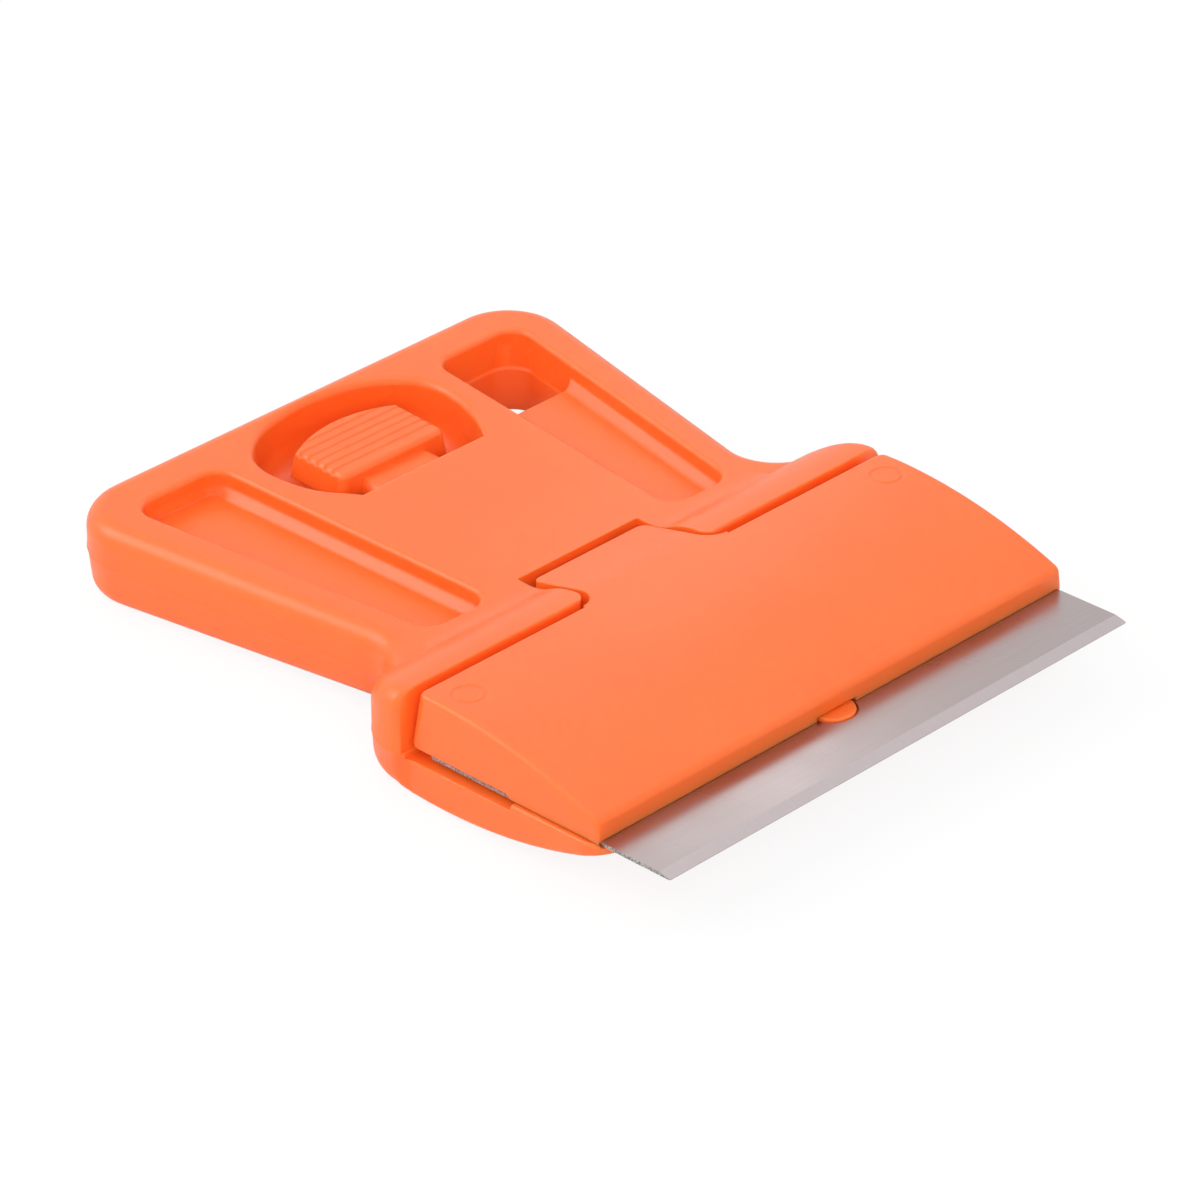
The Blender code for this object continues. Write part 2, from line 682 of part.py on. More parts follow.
# Locating post on the jaw
post_top = seat_height(POST_SETBACK) + BLADE_THICKNESS + POST_PROUD
jaw_post = drum(
    "jaw_post", POST_RADIUS, seat_height(POST_SETBACK) - JAW_NOSE, post_top, 0, POST_SETBACK)
boolean(handle_body, jaw_post, "UNION")
handle_body.data.materials.append(body_plastic)


# Clamp cover

def crown_height(y):
    """Height of the cover's convex top."""
    across = COVER_CREST - y
    return COVER_CREST_HEIGHT - COVER_CROWN_RADIUS + math.sqrt(COVER_CROWN_RADIUS ** 2 - across ** 2)


def cover_profile():
    """Side profile of the cover, as (y, z)."""
    skirt = SKIRT_GAP + RAIL_RISE
    step_rear = SKIRT_STEP + SKIRT_STEP_LENGTH
    relief = skirt + SKIRT_STEP_RISE
    rear_foot = COVER_REAR + COVER_REAR_LEAN
    lip_top = COVER_LIP + COVER_LIP_LEAN
    corners = [
        (COVER_LIP, seat_height(COVER_LIP) + skirt, COVER_LIP_BOTTOM),
        (SKIRT_STEP, seat_height(SKIRT_STEP) + skirt, 0),
        (step_rear, seat_height(step_rear) + relief, 0),
        (rear_foot, seat_height(rear_foot) + relief, 0),
        (COVER_REAR, crown_height(COVER_REAR), COVER_EDGE),
    ]
    crown_front = lip_top + COVER_LIP_TOP
    for step in range(UNIT, CROWN_STEPS):
        y = COVER_REAR + (crown_front - COVER_REAR) * step / CROWN_STEPS
        corners.append((y, crown_height(y), 0))
    corners.append((lip_top, crown_height(lip_top), COVER_LIP_TOP))
    return rounded(corners)


def cover_outline():
    """Plan outline of the cover, as (x, y)."""
    half = [
        (COVER_HALF_WIDTH, COVER_LIP - OVERRUN, 0),
        (COVER_HALF_WIDTH, COVER_REAR + COVER_REAR_LEAN, COVER_CORNER + COVER_REAR_LEAN),
    ]
    return rounded(mirrored(half))


clamp_cover = prism(
    "clamp_cover", cover_outline(), 0, COVER_CREST_HEIGHT + OVERRUN, collection=parts)
cover_block = prism(
    "cover_profile_block", cover_profile(), -COVER_HALF_WIDTH - OVERRUN,
    COVER_HALF_WIDTH + OVERRUN, along_x=True)
boolean(clamp_cover, cover_block, "INTERSECT")
settle(clamp_cover)


def cover_edge_weight(edge):
    """One on the edges round the two ends, above the skirt."""
    first, second = edge.link_faces
    wall = first if abs(first.normal.x) > 0.99 else second
    other = second if wall is first else first
    if abs(wall.normal.x) < 0.99 or abs(other.normal.x) > 0.1:
        return 0.0
    return 1.0 if other.normal.z > 0.2 else 0.0


round_edges(clamp_cover, COVER_EDGE, 2, cover_edge_weight)

# Room for the blade between the skirts
blade_room_half_width = BLADE_WIDTH / 2 + SKIRT_GAP
blade_room_rear = SKIRT_STEP + SKIRT_STEP_LENGTH
blade_room_front = COVER_LIP - OVERRUN
over_blade = BLADE_THICKNESS + SEAT_GAP
blade_room_profile = [
    (blade_room_front, seat_height(blade_room_front) - OVERRUN),
    (blade_room_rear, seat_height(blade_room_rear) - OVERRUN),
    (blade_room_rear, seat_height(blade_room_rear) + over_blade),
    (blade_room_front, seat_height(blade_room_front) + over_blade),
]
blade_room = prism(
    "blade_room", blade_room_profile, -blade_room_half_width, blade_room_half_width, along_x=True)
boolean(clamp_cover, blade_room, "DIFFERENCE")

# Groove that passes over the post as the cover slides
groove_half_width = POST_RADIUS + RUNNING_GAP
groove_rear = POST_SETBACK + POST_RADIUS + COVER_TRAVEL + RUNNING_GAP
over_post = BLADE_THICKNESS + POST_PROUD + SEAT_GAP
groove_profile = [
    (blade_room_front, seat_height(blade_room_front) - OVERRUN),
    (groove_rear, seat_height(groove_rear) - OVERRUN),
    (groove_rear, seat_height(groove_rear) + over_post),
    (blade_room_front, seat_height(blade_room_front) + over_post),
]
post_groove = prism(
    "post_groove", groove_profile, -groove_half_width, groove_half_width, along_x=True)
boolean(clamp_cover, post_groove, "DIFFERENCE")


# Middle tab and heel

def tab_profile():
    """Side profile of the tab, as (y, z)."""
    root = COVER_REAR - COVER_ROOT
    relief = SKIRT_GAP + RAIL_RISE + 2 * SKIRT_STEP_RISE
    heel_front = RIM_FRONT - SLOT_LEAD + COVER_TRAVEL + RUNNING_GAP
    heel_foot = SLOT_FLOOR + TONGUE_GAP
    return rounded([
        (root, seat_height(root) + relief, 0),
        (heel_front, seat_height(heel_front) + relief, 0),
        (heel_front, heel_foot, 0),
        (TAB_REAR, heel_foot, 0),
        (TAB_REAR, TAB_REAR_HEIGHT, COVER_EDGE),
        (TAB_BREAK, TAB_BREAK_HEIGHT, TAB_BREAK_RADIUS),
        (root, crown_height(root) - SEAT_GAP / 2, 0),
    ])


tab_half = [
    (TAB_HALF_WIDTH, COVER_REAR - COVER_ROOT, 0),
    (TAB_HALF_WIDTH, TAB_REAR, TAB_CORNER),
]
tab_block = prism("tab_block", rounded(mirrored(tab_half)), 0, COVER_CREST_HEIGHT)
tab_profile_block = prism(
    "tab_profile_block", tab_profile(), -TAB_HALF_WIDTH - OVERRUN,
    TAB_HALF_WIDTH + OVERRUN, along_x=True)
boolean(tab_block, tab_profile_block, "INTERSECT")
settle(tab_block)
boolean(clamp_cover, tab_block, "UNION")

heel_half = [
    (TONGUE_HALF_WIDTH, TAB_REAR - OVERRUN, 0),
    (TONGUE_HALF_WIDTH, HEEL_REAR, 0),
]
heel_block = prism(
    "heel_block", rounded(mirrored(heel_half)), SLOT_FLOOR + 2 * TONGUE_GAP, TONGUE_TOP)
boolean(clamp_cover, heel_block, "UNION")
clamp_cover.data.materials.append(cover_plastic)


# Thumb latch, whose origin lies on its bending axis

def pad_outline(inset):
    """Plan outline of the pad: square in front, with an arc behind."""
    half_width = PAD_HALF_WIDTH + PAD_DRAFT - inset
    rise = PAD_ARC_RISE
    radius = (half_width ** 2 + rise ** 2) / (2 * rise)
    rear = PAD_FRONT + PAD_SIDE_LENGTH + PAD_DRAFT - inset
    centre = (0, rear + rise - radius)
    sweep = math.asin(half_width / radius)
    front = PAD_FRONT
    points = [(-half_width, front), (half_width, front)]
    points += arc(centre, radius, math.pi / 2 - sweep, math.pi / 2 + sweep, PAD_ARC_STEPS)
    return points


hinge_y = HEEL_REAR + RUNNING_GAP / 2
hinge_z = TONGUE_TOP - TONGUE_THICKNESS / 2

pad_mesh = bpy.data.meshes.new("pad_block")
pad_work = bmesh.new()
pad_rows = []
for inset, z in ((0, TONGUE_BOTTOM), (PAD_DRAFT, PAD_TOP - RIDGE_HEIGHT)):
    pad_rows.append([pad_work.verts.new((x, y, z)) for x, y in pad_outline(inset)])
pad_count = len(pad_rows[0])
for index in range(pad_count):
    after = (index + UNIT) % pad_count
    pad_work.faces.new(
        (pad_rows[0][index], pad_rows[0][after], pad_rows[1][after], pad_rows[1][index]))
pad_work.faces.new(pad_rows[0])
pad_work.faces.new(pad_rows[1])
pad_work.to_mesh(pad_mesh)
pad_work.free()
weld(pad_mesh)

tongue_half = [
    (TONGUE_HALF_WIDTH, TONGUE_FRONT, 0),
    (TONGUE_HALF_WIDTH, PAD_FRONT + OVERRUN, 0),
]
thumb_latch = prism(
    "thumb_latch", rounded(mirrored(tongue_half)), TONGUE_BOTTOM + SEAT_GAP, TONGUE_TOP,
    collection=parts)
pad_block = link(bpy.data.objects.new("pad_block", pad_mesh), cutters)
boolean(thumb_latch, pad_block, "UNION")
for index in range(RIDGE_COUNT):
    ridge_y = PAD_FRONT + RIDGE_FIRST + index * RIDGE_PITCH
    half_width = PAD_HALF_WIDTH - PAD_EDGE
    foot = RIDGE_PITCH * RIDGE_FOOT_SHARE
    shoulder = RIDGE_PITCH * RIDGE_SHOULDER_SHARE
    crown = RIDGE_PITCH * RIDGE_CROWN_SHARE
    ridge_profile = [
        (ridge_y - foot, PAD_TOP - RIDGE_HEIGHT - SEAT_GAP),
        (ridge_y + foot, PAD_TOP - RIDGE_HEIGHT - SEAT_GAP),
        (ridge_y + shoulder, PAD_TOP - RIDGE_HEIGHT / 2),
        (ridge_y + crown, PAD_TOP),
        (ridge_y - crown, PAD_TOP),
        (ridge_y - shoulder, PAD_TOP - RIDGE_HEIGHT / 2),
    ]
    ridge = prism(
        "pad_ridge_" + str(index), ridge_profile, -half_width, half_width, along_x=True)
    boolean(thumb_latch, ridge, "UNION")
settle(thumb_latch)
thumb_latch.data.transform(Matrix.Translation((0, -hinge_y, -hinge_z)))
thumb_latch.location = (0, hinge_y, hinge_z)
thumb_latch.data.materials.append(latch_plastic)

# Blade
blade_profile = [
    (0, 0),
    (BLADE_DEPTH, 0),
    (BLADE_DEPTH, BLADE_THICKNESS),
    (BLADE_GRIND, BLADE_THICKNESS),
    (0, BLADE_EDGE_LAND),
]
blade_half = [
    (BLADE_WIDTH / 2, 0, BLADE_CORNER),
    (BLADE_WIDTH / 2, BLADE_DEPTH, 0),
]
blade = prism(
    "blade", rounded(mirrored(blade_half)), -OVERRUN, BLADE_THICKNESS + OVERRUN, collection=parts)
blade_profile_block = prism(
    "blade_profile_block", blade_profile, -BLADE_WIDTH / 2 - OVERRUN,
    BLADE_WIDTH / 2 + OVERRUN, along_x=True)
boolean(blade, blade_profile_block, "INTERSECT")
settle(blade)
blade.rotation_euler = (-BLADE_TILT, 0, 0)
blade.location = (0, 0, EDGE_HEIGHT)
blade_hole = drum(
    "blade_hole", POST_RADIUS + SKIRT_GAP, seat_height(POST_SETBACK) - OVERRUN,
    seat_height(POST_SETBACK) + OVERRUN, 0, POST_SETBACK)
boolean(blade, blade_hole, "DIFFERENCE")
blade.data.materials.append(blade_steel)

# Frame of the whole scraper
scraper_frame = link(bpy.data.objects.new("scraper_frame", None), parts)
scraper_frame.location = (0, -OVERALL_LENGTH / 2, 0)
for piece in list(parts.objects) + list(cutters.objects):
    if piece is not scraper_frame:
        piece.parent = scraper_frame
for piece in (handle_body, clamp_cover, thumb_latch, blade):
    piece.data.shade_smooth()
    piece.data.set_sharp_from_angle(angle=math.radians(30))
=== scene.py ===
# Looks of the moulded hand scraper: shells finer than the solids, ABS and steel, studio light
# Shapes are drawn in millimetres behind the cutting edge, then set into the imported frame

import math

import bmesh
import bpy
from mathutils import Matrix, Vector


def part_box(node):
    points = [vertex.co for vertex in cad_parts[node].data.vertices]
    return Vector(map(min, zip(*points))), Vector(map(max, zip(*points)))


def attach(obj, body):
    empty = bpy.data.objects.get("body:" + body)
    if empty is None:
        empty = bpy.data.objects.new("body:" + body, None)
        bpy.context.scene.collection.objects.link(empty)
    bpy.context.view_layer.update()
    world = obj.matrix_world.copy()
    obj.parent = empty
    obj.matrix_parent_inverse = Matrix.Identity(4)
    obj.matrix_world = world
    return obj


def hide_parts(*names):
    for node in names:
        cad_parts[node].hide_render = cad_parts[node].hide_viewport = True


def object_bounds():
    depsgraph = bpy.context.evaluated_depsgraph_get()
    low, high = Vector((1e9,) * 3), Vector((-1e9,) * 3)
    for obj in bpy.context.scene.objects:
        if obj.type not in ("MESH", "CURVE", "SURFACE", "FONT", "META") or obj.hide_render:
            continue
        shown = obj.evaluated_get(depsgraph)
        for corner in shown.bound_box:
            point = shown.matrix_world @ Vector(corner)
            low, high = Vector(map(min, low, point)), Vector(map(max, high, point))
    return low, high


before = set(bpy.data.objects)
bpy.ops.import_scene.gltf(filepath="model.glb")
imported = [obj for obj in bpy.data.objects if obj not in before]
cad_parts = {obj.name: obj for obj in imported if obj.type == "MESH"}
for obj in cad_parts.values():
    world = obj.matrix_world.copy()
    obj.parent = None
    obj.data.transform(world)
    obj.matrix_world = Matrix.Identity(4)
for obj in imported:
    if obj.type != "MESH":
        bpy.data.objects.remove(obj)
cadLow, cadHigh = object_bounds()
print("frame loaded")

scraper = {
    "length": 55.3,  # cutting edge to the handle's end
    "edgeHeight": 4.53,  # cutting edge above the table
    "bladeTilt": 3.43,  # degrees, the blade points up towards its edge
    "handleTop": 6.15,
    "handleSlope": 2.0,  # degrees, the underside rises towards the neck
    "arcStep": 6.0,  # degrees between the points of an arc
    "overrun": 1.0,  # how far a cutter runs past what it cuts
    "hairline": 0.003,  # keeps two faces out of one plane, for a clean boolean
    "weld": 0.002,  # points closer than this become one
    "sliver": 0.001,  # edges shorter than this go
}
mm = 0.001
bladeSlope = math.tan(math.radians(scraper["bladeTilt"]))
handleSlope = math.tan(math.radians(scraper["handleSlope"]))
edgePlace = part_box("blade")[0].y
toFrame = Matrix.Translation((0, edgePlace, 0)) @ Matrix.Scale(mm, 4)
overrun = scraper["overrun"]
hairline = scraper["hairline"]


# Outlines

def seatHeight(y):  # underside of the blade
    return scraper["edgeHeight"] - bladeSlope * y


def seatLine(front, rear, rise):  # along the blade's underside, that far above it
    return [(front, seatHeight(front) + rise), (rear, seatHeight(rear) + rise)]


def arcPoints(centre, radius, start, end):  # angles in degrees
    count = max(2, math.ceil(abs(end - start) / scraper["arcStep"] - 0.01))  # 0.01 forgives rounding
    points = []
    for step in range(count + 1):
        angle = math.radians(start + (end - start) * step / count)
        points.append((centre[0] + radius * math.cos(angle), centre[1] + radius * math.sin(angle)))
    return points


def circlePoints(centre, radius):
    return arcPoints(centre, radius, 0, 360 - scraper["arcStep"])


def roundCorners(corners):  # rows of (a, b, radius)
    points = []
    for index, (a, b, radius) in enumerate(corners):
        if radius <= 0:
            points.append((a, b))
            continue
        here = Vector((a, b))
        before = (Vector(corners[index - 1][:2]) - here).normalized()
        after = (Vector(corners[(index + 1) % len(corners)][:2]) - here).normalized()
        half = before.angle(after) / 2
        centre = here + (before + after).normalized() * (radius / math.sin(half))
        first = here + before * (radius / math.tan(half)) - centre
        last = here + after * (radius / math.tan(half)) - centre
        start = math.degrees(math.atan2(first.y, first.x))
        turn = math.degrees(math.atan2(last.y, last.x)) - start
        turn = (turn + 180) % 360 - 180
        points += arcPoints(centre, radius, start, start + turn)
    return points


def mirrorHalf(half):  # the +X half, front to rear, with its mirror image
    return list(half) + [(-row[0],) + tuple(row[1:]) for row in reversed(half) if row[0] > 0]


def ease(value, low, high):  # 0 below low, 1 above high, smooth between
    share = min(1.0, max(0.0, (value - low) / (high - low)))
    return share * share * (3 - 2 * share)


def spread(points, amounts):  # moves a closed ring outwards, square to itself
    count = len(points)
    area = sum(points[i - 1][0] * points[i][1] - points[i][0] * points[i - 1][1] for i in range(count))
    side = 1 if area > 0 else -1
    moved = []
    for index, (a, b) in enumerate(points):
        before = Vector((a - points[index - 1][0], b - points[index - 1][1])).normalized()
        after = points[(index + 1) % count]
        after = Vector((after[0] - a, after[1] - b)).normalized()
        normal = Vector((before.y + after.y, -before.x - after.x)) * side
        amount = amounts[index] if isinstance(amounts, list) else amounts
        shift = normal * (2 * amount / normal.length_squared)
        moved.append((a + shift.x, b + shift.y))
    return moved


def quarter(radius, steps=6):  # (inset, drop) pairs of a rounded edge, wall first
    pairs = []
    for step in range(steps + 1):
        angle = math.pi / 2 * step / steps
        pairs.append((radius * (1 - math.cos(angle)), radius * (1 - math.sin(angle))))
    return pairs


# Meshes

def addObject(name, data):
    obj = bpy.data.objects.new(name, data)
    bpy.context.scene.collection.objects.link(obj)
    return obj


def meshObject(name, work):
    bmesh.ops.recalc_face_normals(work, faces=work.faces)
    mesh = bpy.data.meshes.new(name)
    work.to_mesh(mesh)
    work.free()
    return addObject(name, mesh)


def loft(name, rings):  # closed solid through rings with the same number of points
    work = bmesh.new()
    rows = [[work.verts.new(point) for point in ring] for ring in rings]
    for low, high in zip(rows, rows[1:]):
        for index in range(len(low)):
            after = (index + 1) % len(low)
            work.faces.new((low[index], low[after], high[after], high[index]))
    work.faces.new(rows[0])
    work.faces.new(rows[-1])
    return meshObject(name, work)


def plate(name, outline, low, high):  # outline pushed up along Z
    return loft(name, [[(x, y, z) for x, y in outline] for z in (low, high)])


def bar(name, profile, low, high):  # (y, z) profile pushed along X
    return loft(name, [[(x, y, z) for y, z in profile] for x in (low, high)])


def applyModifiers(piece):
    depsgraph = bpy.context.evaluated_depsgraph_get()
    mesh = bpy.data.meshes.new_from_object(piece.evaluated_get(depsgraph))
    piece.modifiers.clear()
    piece.data = mesh
    return mesh


def combine(target, operation, *tools):  # the tools are used up
    for tool in tools:
        modifier = target.modifiers.new(tool.name, "BOOLEAN")
        modifier.operation = operation
        modifier.object = tool
        modifier.solver = "EXACT"
    mesh = applyModifiers(target)
    for tool in tools:
        bpy.data.objects.remove(tool, do_unlink=True)
    work = bmesh.new()
    work.from_mesh(mesh)
    bmesh.ops.remove_doubles(work, verts=work.verts, dist=scraper["weld"])
    bmesh.ops.dissolve_degenerate(work, edges=work.edges, dist=scraper["sliver"])
    work.to_mesh(mesh)
    work.free()
    return target


def soften(piece, width, segments=3, angle=50):  # real roundings on a simple block
    bevel = piece.modifiers.new("bevel", "BEVEL")
    bevel.width = width
    bevel.segments = segments
    bevel.limit_method = "ANGLE"
    bevel.angle_limit = math.radians(angle)
    applyModifiers(piece)
    return piece


shading = {
    "sharpAngle": 34,  # degrees, an edge that turns more stays crisp
    "flatWeight": 80,  # how far the large faces win where they meet a rounding
}


def settle(piece, material, bodyName, cadNode):
    piece.data.transform(toFrame)
    piece.data.materials.append(material)
    piece.data.shade_smooth()
    piece.data.set_sharp_from_angle(angle=math.radians(shading["sharpAngle"]))
    normals = piece.modifiers.new("weightedNormals", "WEIGHTED_NORMAL")
    normals.keep_sharp = True
    normals.weight = shading["flatWeight"]
    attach(piece, bodyName)
    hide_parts(cadNode)
    print("made", piece.name, len(piece.data.polygons), "faces")


# Materials

def fromHex(text):  # sRGB hex to linear
    channels = [int(text[index:index + 2], 16) / 255 for index in (1, 3, 5)]
    return [c / 12.92 if c <= 0.04045 else ((c + 0.055) / 1.055) ** 2.4 for c in channels] + [1.0]


def addNode(tree, kind, settings=None, links=None):
    made = tree.nodes.new(kind)
    for key, value in (settings or {}).items():
        if hasattr(made, key):
            setattr(made, key, value)
        else:
            made.inputs[key].default_value = value
    for key, source in (links or {}).items():
        tree.links.new(source, made.inputs[key])
    return made


def newMaterial(name):
    material = bpy.data.materials.new(name)
    material.use_nodes = True
    material.node_tree.nodes.clear()
    return material, material.node_tree


absLook = {
    "colour": "#FF742C",
    "shade": "#FF6C24",  # where the pigment lies a little thicker
    "roughness": 0.34,
    "smoother": 0.04,  # how far the grain takes the roughness down and up
    "rougher": 0.05,
    "mottleSize": 6.0,  # mm, slow drift of the pigment in the melt
    "peelSize": 0.9,  # mm, ripple that the mould leaves
    "peelHeight": 0.004,
    "grainSize": 0.16,  # mm, spark-eroded mould finish, drawn coarser than the real 0.05
    "grainHeight": 0.0045,
    "edgeSoftness": 0.14,  # mm, radius of the corners of the mould
    "depthShare": 0.7,  # light that enters the plastic and comes out again
    "depth": 1.6,  # mm
    "depthByColour": (1.0, 0.4, 0.2),  # red light goes deepest
}


def mouldedAbs(name, shift=0.0):  # the shift makes a piece a little rougher
    # ABS from a satin, spark-eroded mould: an even, slightly milky orange with a broad soft sheen
    material, tree = newMaterial(name)
    place = addNode(tree, "ShaderNodeTexCoord").outputs["Object"]
    mottle = addNode(tree, "ShaderNodeTexNoise", {
        "Scale": 1 / (absLook["mottleSize"] * mm), "Detail": 3.0, "Roughness": 0.5}, {"Vector": place})
    tint = addNode(tree, "ShaderNodeMix", {
        "data_type": "RGBA", "A": fromHex(absLook["colour"]), "B": fromHex(absLook["shade"])}, {
        "Factor": mottle.outputs["Fac"]})
    peel = addNode(tree, "ShaderNodeTexNoise", {
        "Scale": 1 / (absLook["peelSize"] * mm), "Detail": 1.0}, {"Vector": place})
    grain = addNode(tree, "ShaderNodeTexNoise", {
        "Scale": 1 / (absLook["grainSize"] * mm), "Detail": 2.0}, {"Vector": place})
    gloss = addNode(tree, "ShaderNodeMapRange", {
        "From Min": 0.3, "From Max": 0.7,
        "To Min": absLook["roughness"] - absLook["smoother"] + shift,
        "To Max": absLook["roughness"] + absLook["rougher"] + shift}, {"Value": grain.outputs["Fac"]})
    corner = addNode(tree, "ShaderNodeBevel", {"samples": 6, "Radius": absLook["edgeSoftness"] * mm})
    ripple = addNode(tree, "ShaderNodeBump", {
        "Strength": 1.0, "Distance": absLook["peelHeight"] * mm},
        {"Height": peel.outputs["Fac"], "Normal": corner.outputs["Normal"]})
    finish = addNode(tree, "ShaderNodeBump", {
        "Strength": 1.0, "Distance": absLook["grainHeight"] * mm},
        {"Height": grain.outputs["Fac"], "Normal": ripple.outputs["Normal"]})
    shader = addNode(tree, "ShaderNodeBsdfPrincipled", {
        "IOR": 1.53, "Subsurface Weight": absLook["depthShare"],
        "Subsurface Scale": absLook["depth"] * mm, "Subsurface Radius": absLook["depthByColour"]}, {
        "Base Color": tint.outputs["Result"], "Roughness": gloss.outputs["Result"],
        "Normal": finish.outputs["Normal"]})
    addNode(tree, "ShaderNodeOutputMaterial", links={"Surface": shader.outputs["BSDF"]})
    return material


steelLook = {
    "colour": "#B4A9A8",
    "groundColour": "#BFB4B5",  # fresh metal of the ground edge
    "roughness": 0.27,
    "groundRoughness": 0.4,
    "smoother": 0.05,  # how far the clouds take the roughness down and up
    "rougher": 0.06,
    "rollWidth": 0.12,  # mm, rolling lines along the strip, drawn coarser than the real 0.02
    "rollLength": 5.0,
    "rollHeight": 0.0006,
    "rollShade": 0.9,  # brightness in the lines
    "cloudSize": 7.0,  # mm, oil film and handling
    "tearSize": 0.14,  # mm
    "tearHeight": 0.02,
    "tearDark": 0.2,
    "tearBright": 0.6,
    "tearRoughness": 0.45,
}


def shearedSteel(name):
    # Torn face that the shears leave at the strip's ends: rough, bright specks in a dark ground
    material, tree = newMaterial(name)
    place = addNode(tree, "ShaderNodeTexCoord").outputs["Object"]
    tear = addNode(tree, "ShaderNodeTexNoise", {
        "Scale": 1 / (steelLook["tearSize"] * mm), "Detail": 3.0}, {"Vector": place})
    tint = addNode(tree, "ShaderNodeMapRange", {
        "From Min": 0.35, "From Max": 0.65,
        "To Min": steelLook["tearDark"], "To Max": steelLook["tearBright"]}, {
        "Value": tear.outputs["Fac"]})
    rough = addNode(tree, "ShaderNodeBump", {"Strength": 1.0, "Distance": steelLook["tearHeight"] * mm},
                    {"Height": tear.outputs["Fac"]})
    shader = addNode(tree, "ShaderNodeBsdfPrincipled", {
        "Metallic": 1.0, "Roughness": steelLook["tearRoughness"]}, {
        "Base Color": tint.outputs["Result"], "Normal": rough.outputs["Normal"]})
    addNode(tree, "ShaderNodeOutputMaterial", links={"Surface": shader.outputs["BSDF"]})
    return material


def rolledSteel(name, ground=False):
    # Cold-rolled carbon steel strip: satin, with faint rolling lines, and more matt where it is ground
    material, tree = newMaterial(name)
    place = addNode(tree, "ShaderNodeTexCoord").outputs["Object"]
    stretched = addNode(tree, "ShaderNodeMapping", links={"Vector": place})
    lines = (steelLook["rollWidth"], steelLook["rollLength"]) if ground else (
        steelLook["rollLength"], steelLook["rollWidth"])
    stretched.inputs["Scale"].default_value = (
        1 / (lines[0] * mm), 1 / (lines[1] * mm), 1 / (steelLook["rollWidth"] * mm))
    roll = addNode(tree, "ShaderNodeTexNoise", {"Scale": 1.0, "Detail": 3.0},
                   {"Vector": stretched.outputs["Vector"]})
    cloud = addNode(tree, "ShaderNodeTexNoise", {
        "Scale": 1 / (steelLook["cloudSize"] * mm), "Detail": 2.0}, {"Vector": place})
    base = steelLook["groundRoughness"] if ground else steelLook["roughness"]
    gloss = addNode(tree, "ShaderNodeMapRange", {
        "From Min": 0.3, "From Max": 0.7, "To Min": base - steelLook["smoother"],
        "To Max": base + steelLook["rougher"]}, {"Value": cloud.outputs["Fac"]})
    colour = fromHex(steelLook["groundColour"] if ground else steelLook["colour"])
    shade = [channel * steelLook["rollShade"] for channel in colour[:3]] + [1.0]
    tint = addNode(tree, "ShaderNodeMix", {"data_type": "RGBA", "A": colour, "B": shade}, {
        "Factor": roll.outputs["Fac"]})
    scratch = addNode(tree, "ShaderNodeBump", {
        "Strength": 0.5, "Distance": steelLook["rollHeight"] * mm}, {"Height": roll.outputs["Fac"]})
    shader = addNode(tree, "ShaderNodeBsdfPrincipled", {"Metallic": 1.0}, {
        "Base Color": tint.outputs["Result"], "Roughness": gloss.outputs["Result"],
        "Normal": scratch.outputs["Normal"]})
    addNode(tree, "ShaderNodeOutputMaterial", links={"Surface": shader.outputs["BSDF"]})
    return material


bodyAbs = mouldedAbs("mouldedAbsBody")
coverAbs = mouldedAbs("mouldedAbsCover", shift=0.02)
latchAbs = mouldedAbs("mouldedAbsLatch", shift=0.03)
stripSteel = rolledSteel("coldRolledSteel")
groundSteel = rolledSteel("groundSteelEdge", ground=True)
tornSteel = shearedSteel("shearedSteelEnd")
print("materials made")


# Blade sizes, which the jaw and the cover take up too

blade = {
    "width": 40.0,
    "depth": 20.4,
    "thickness": 0.25,
    "grind": 0.9,  # ground on the upper side only
    "edgeLand": 0.04,  # thickness left at the cutting edge
    "corner": 0.12,
    "rearCorner": 0.1,
}

# Body: handle, rim and lower jaw in one moulding. A setback runs back from the rim's front face

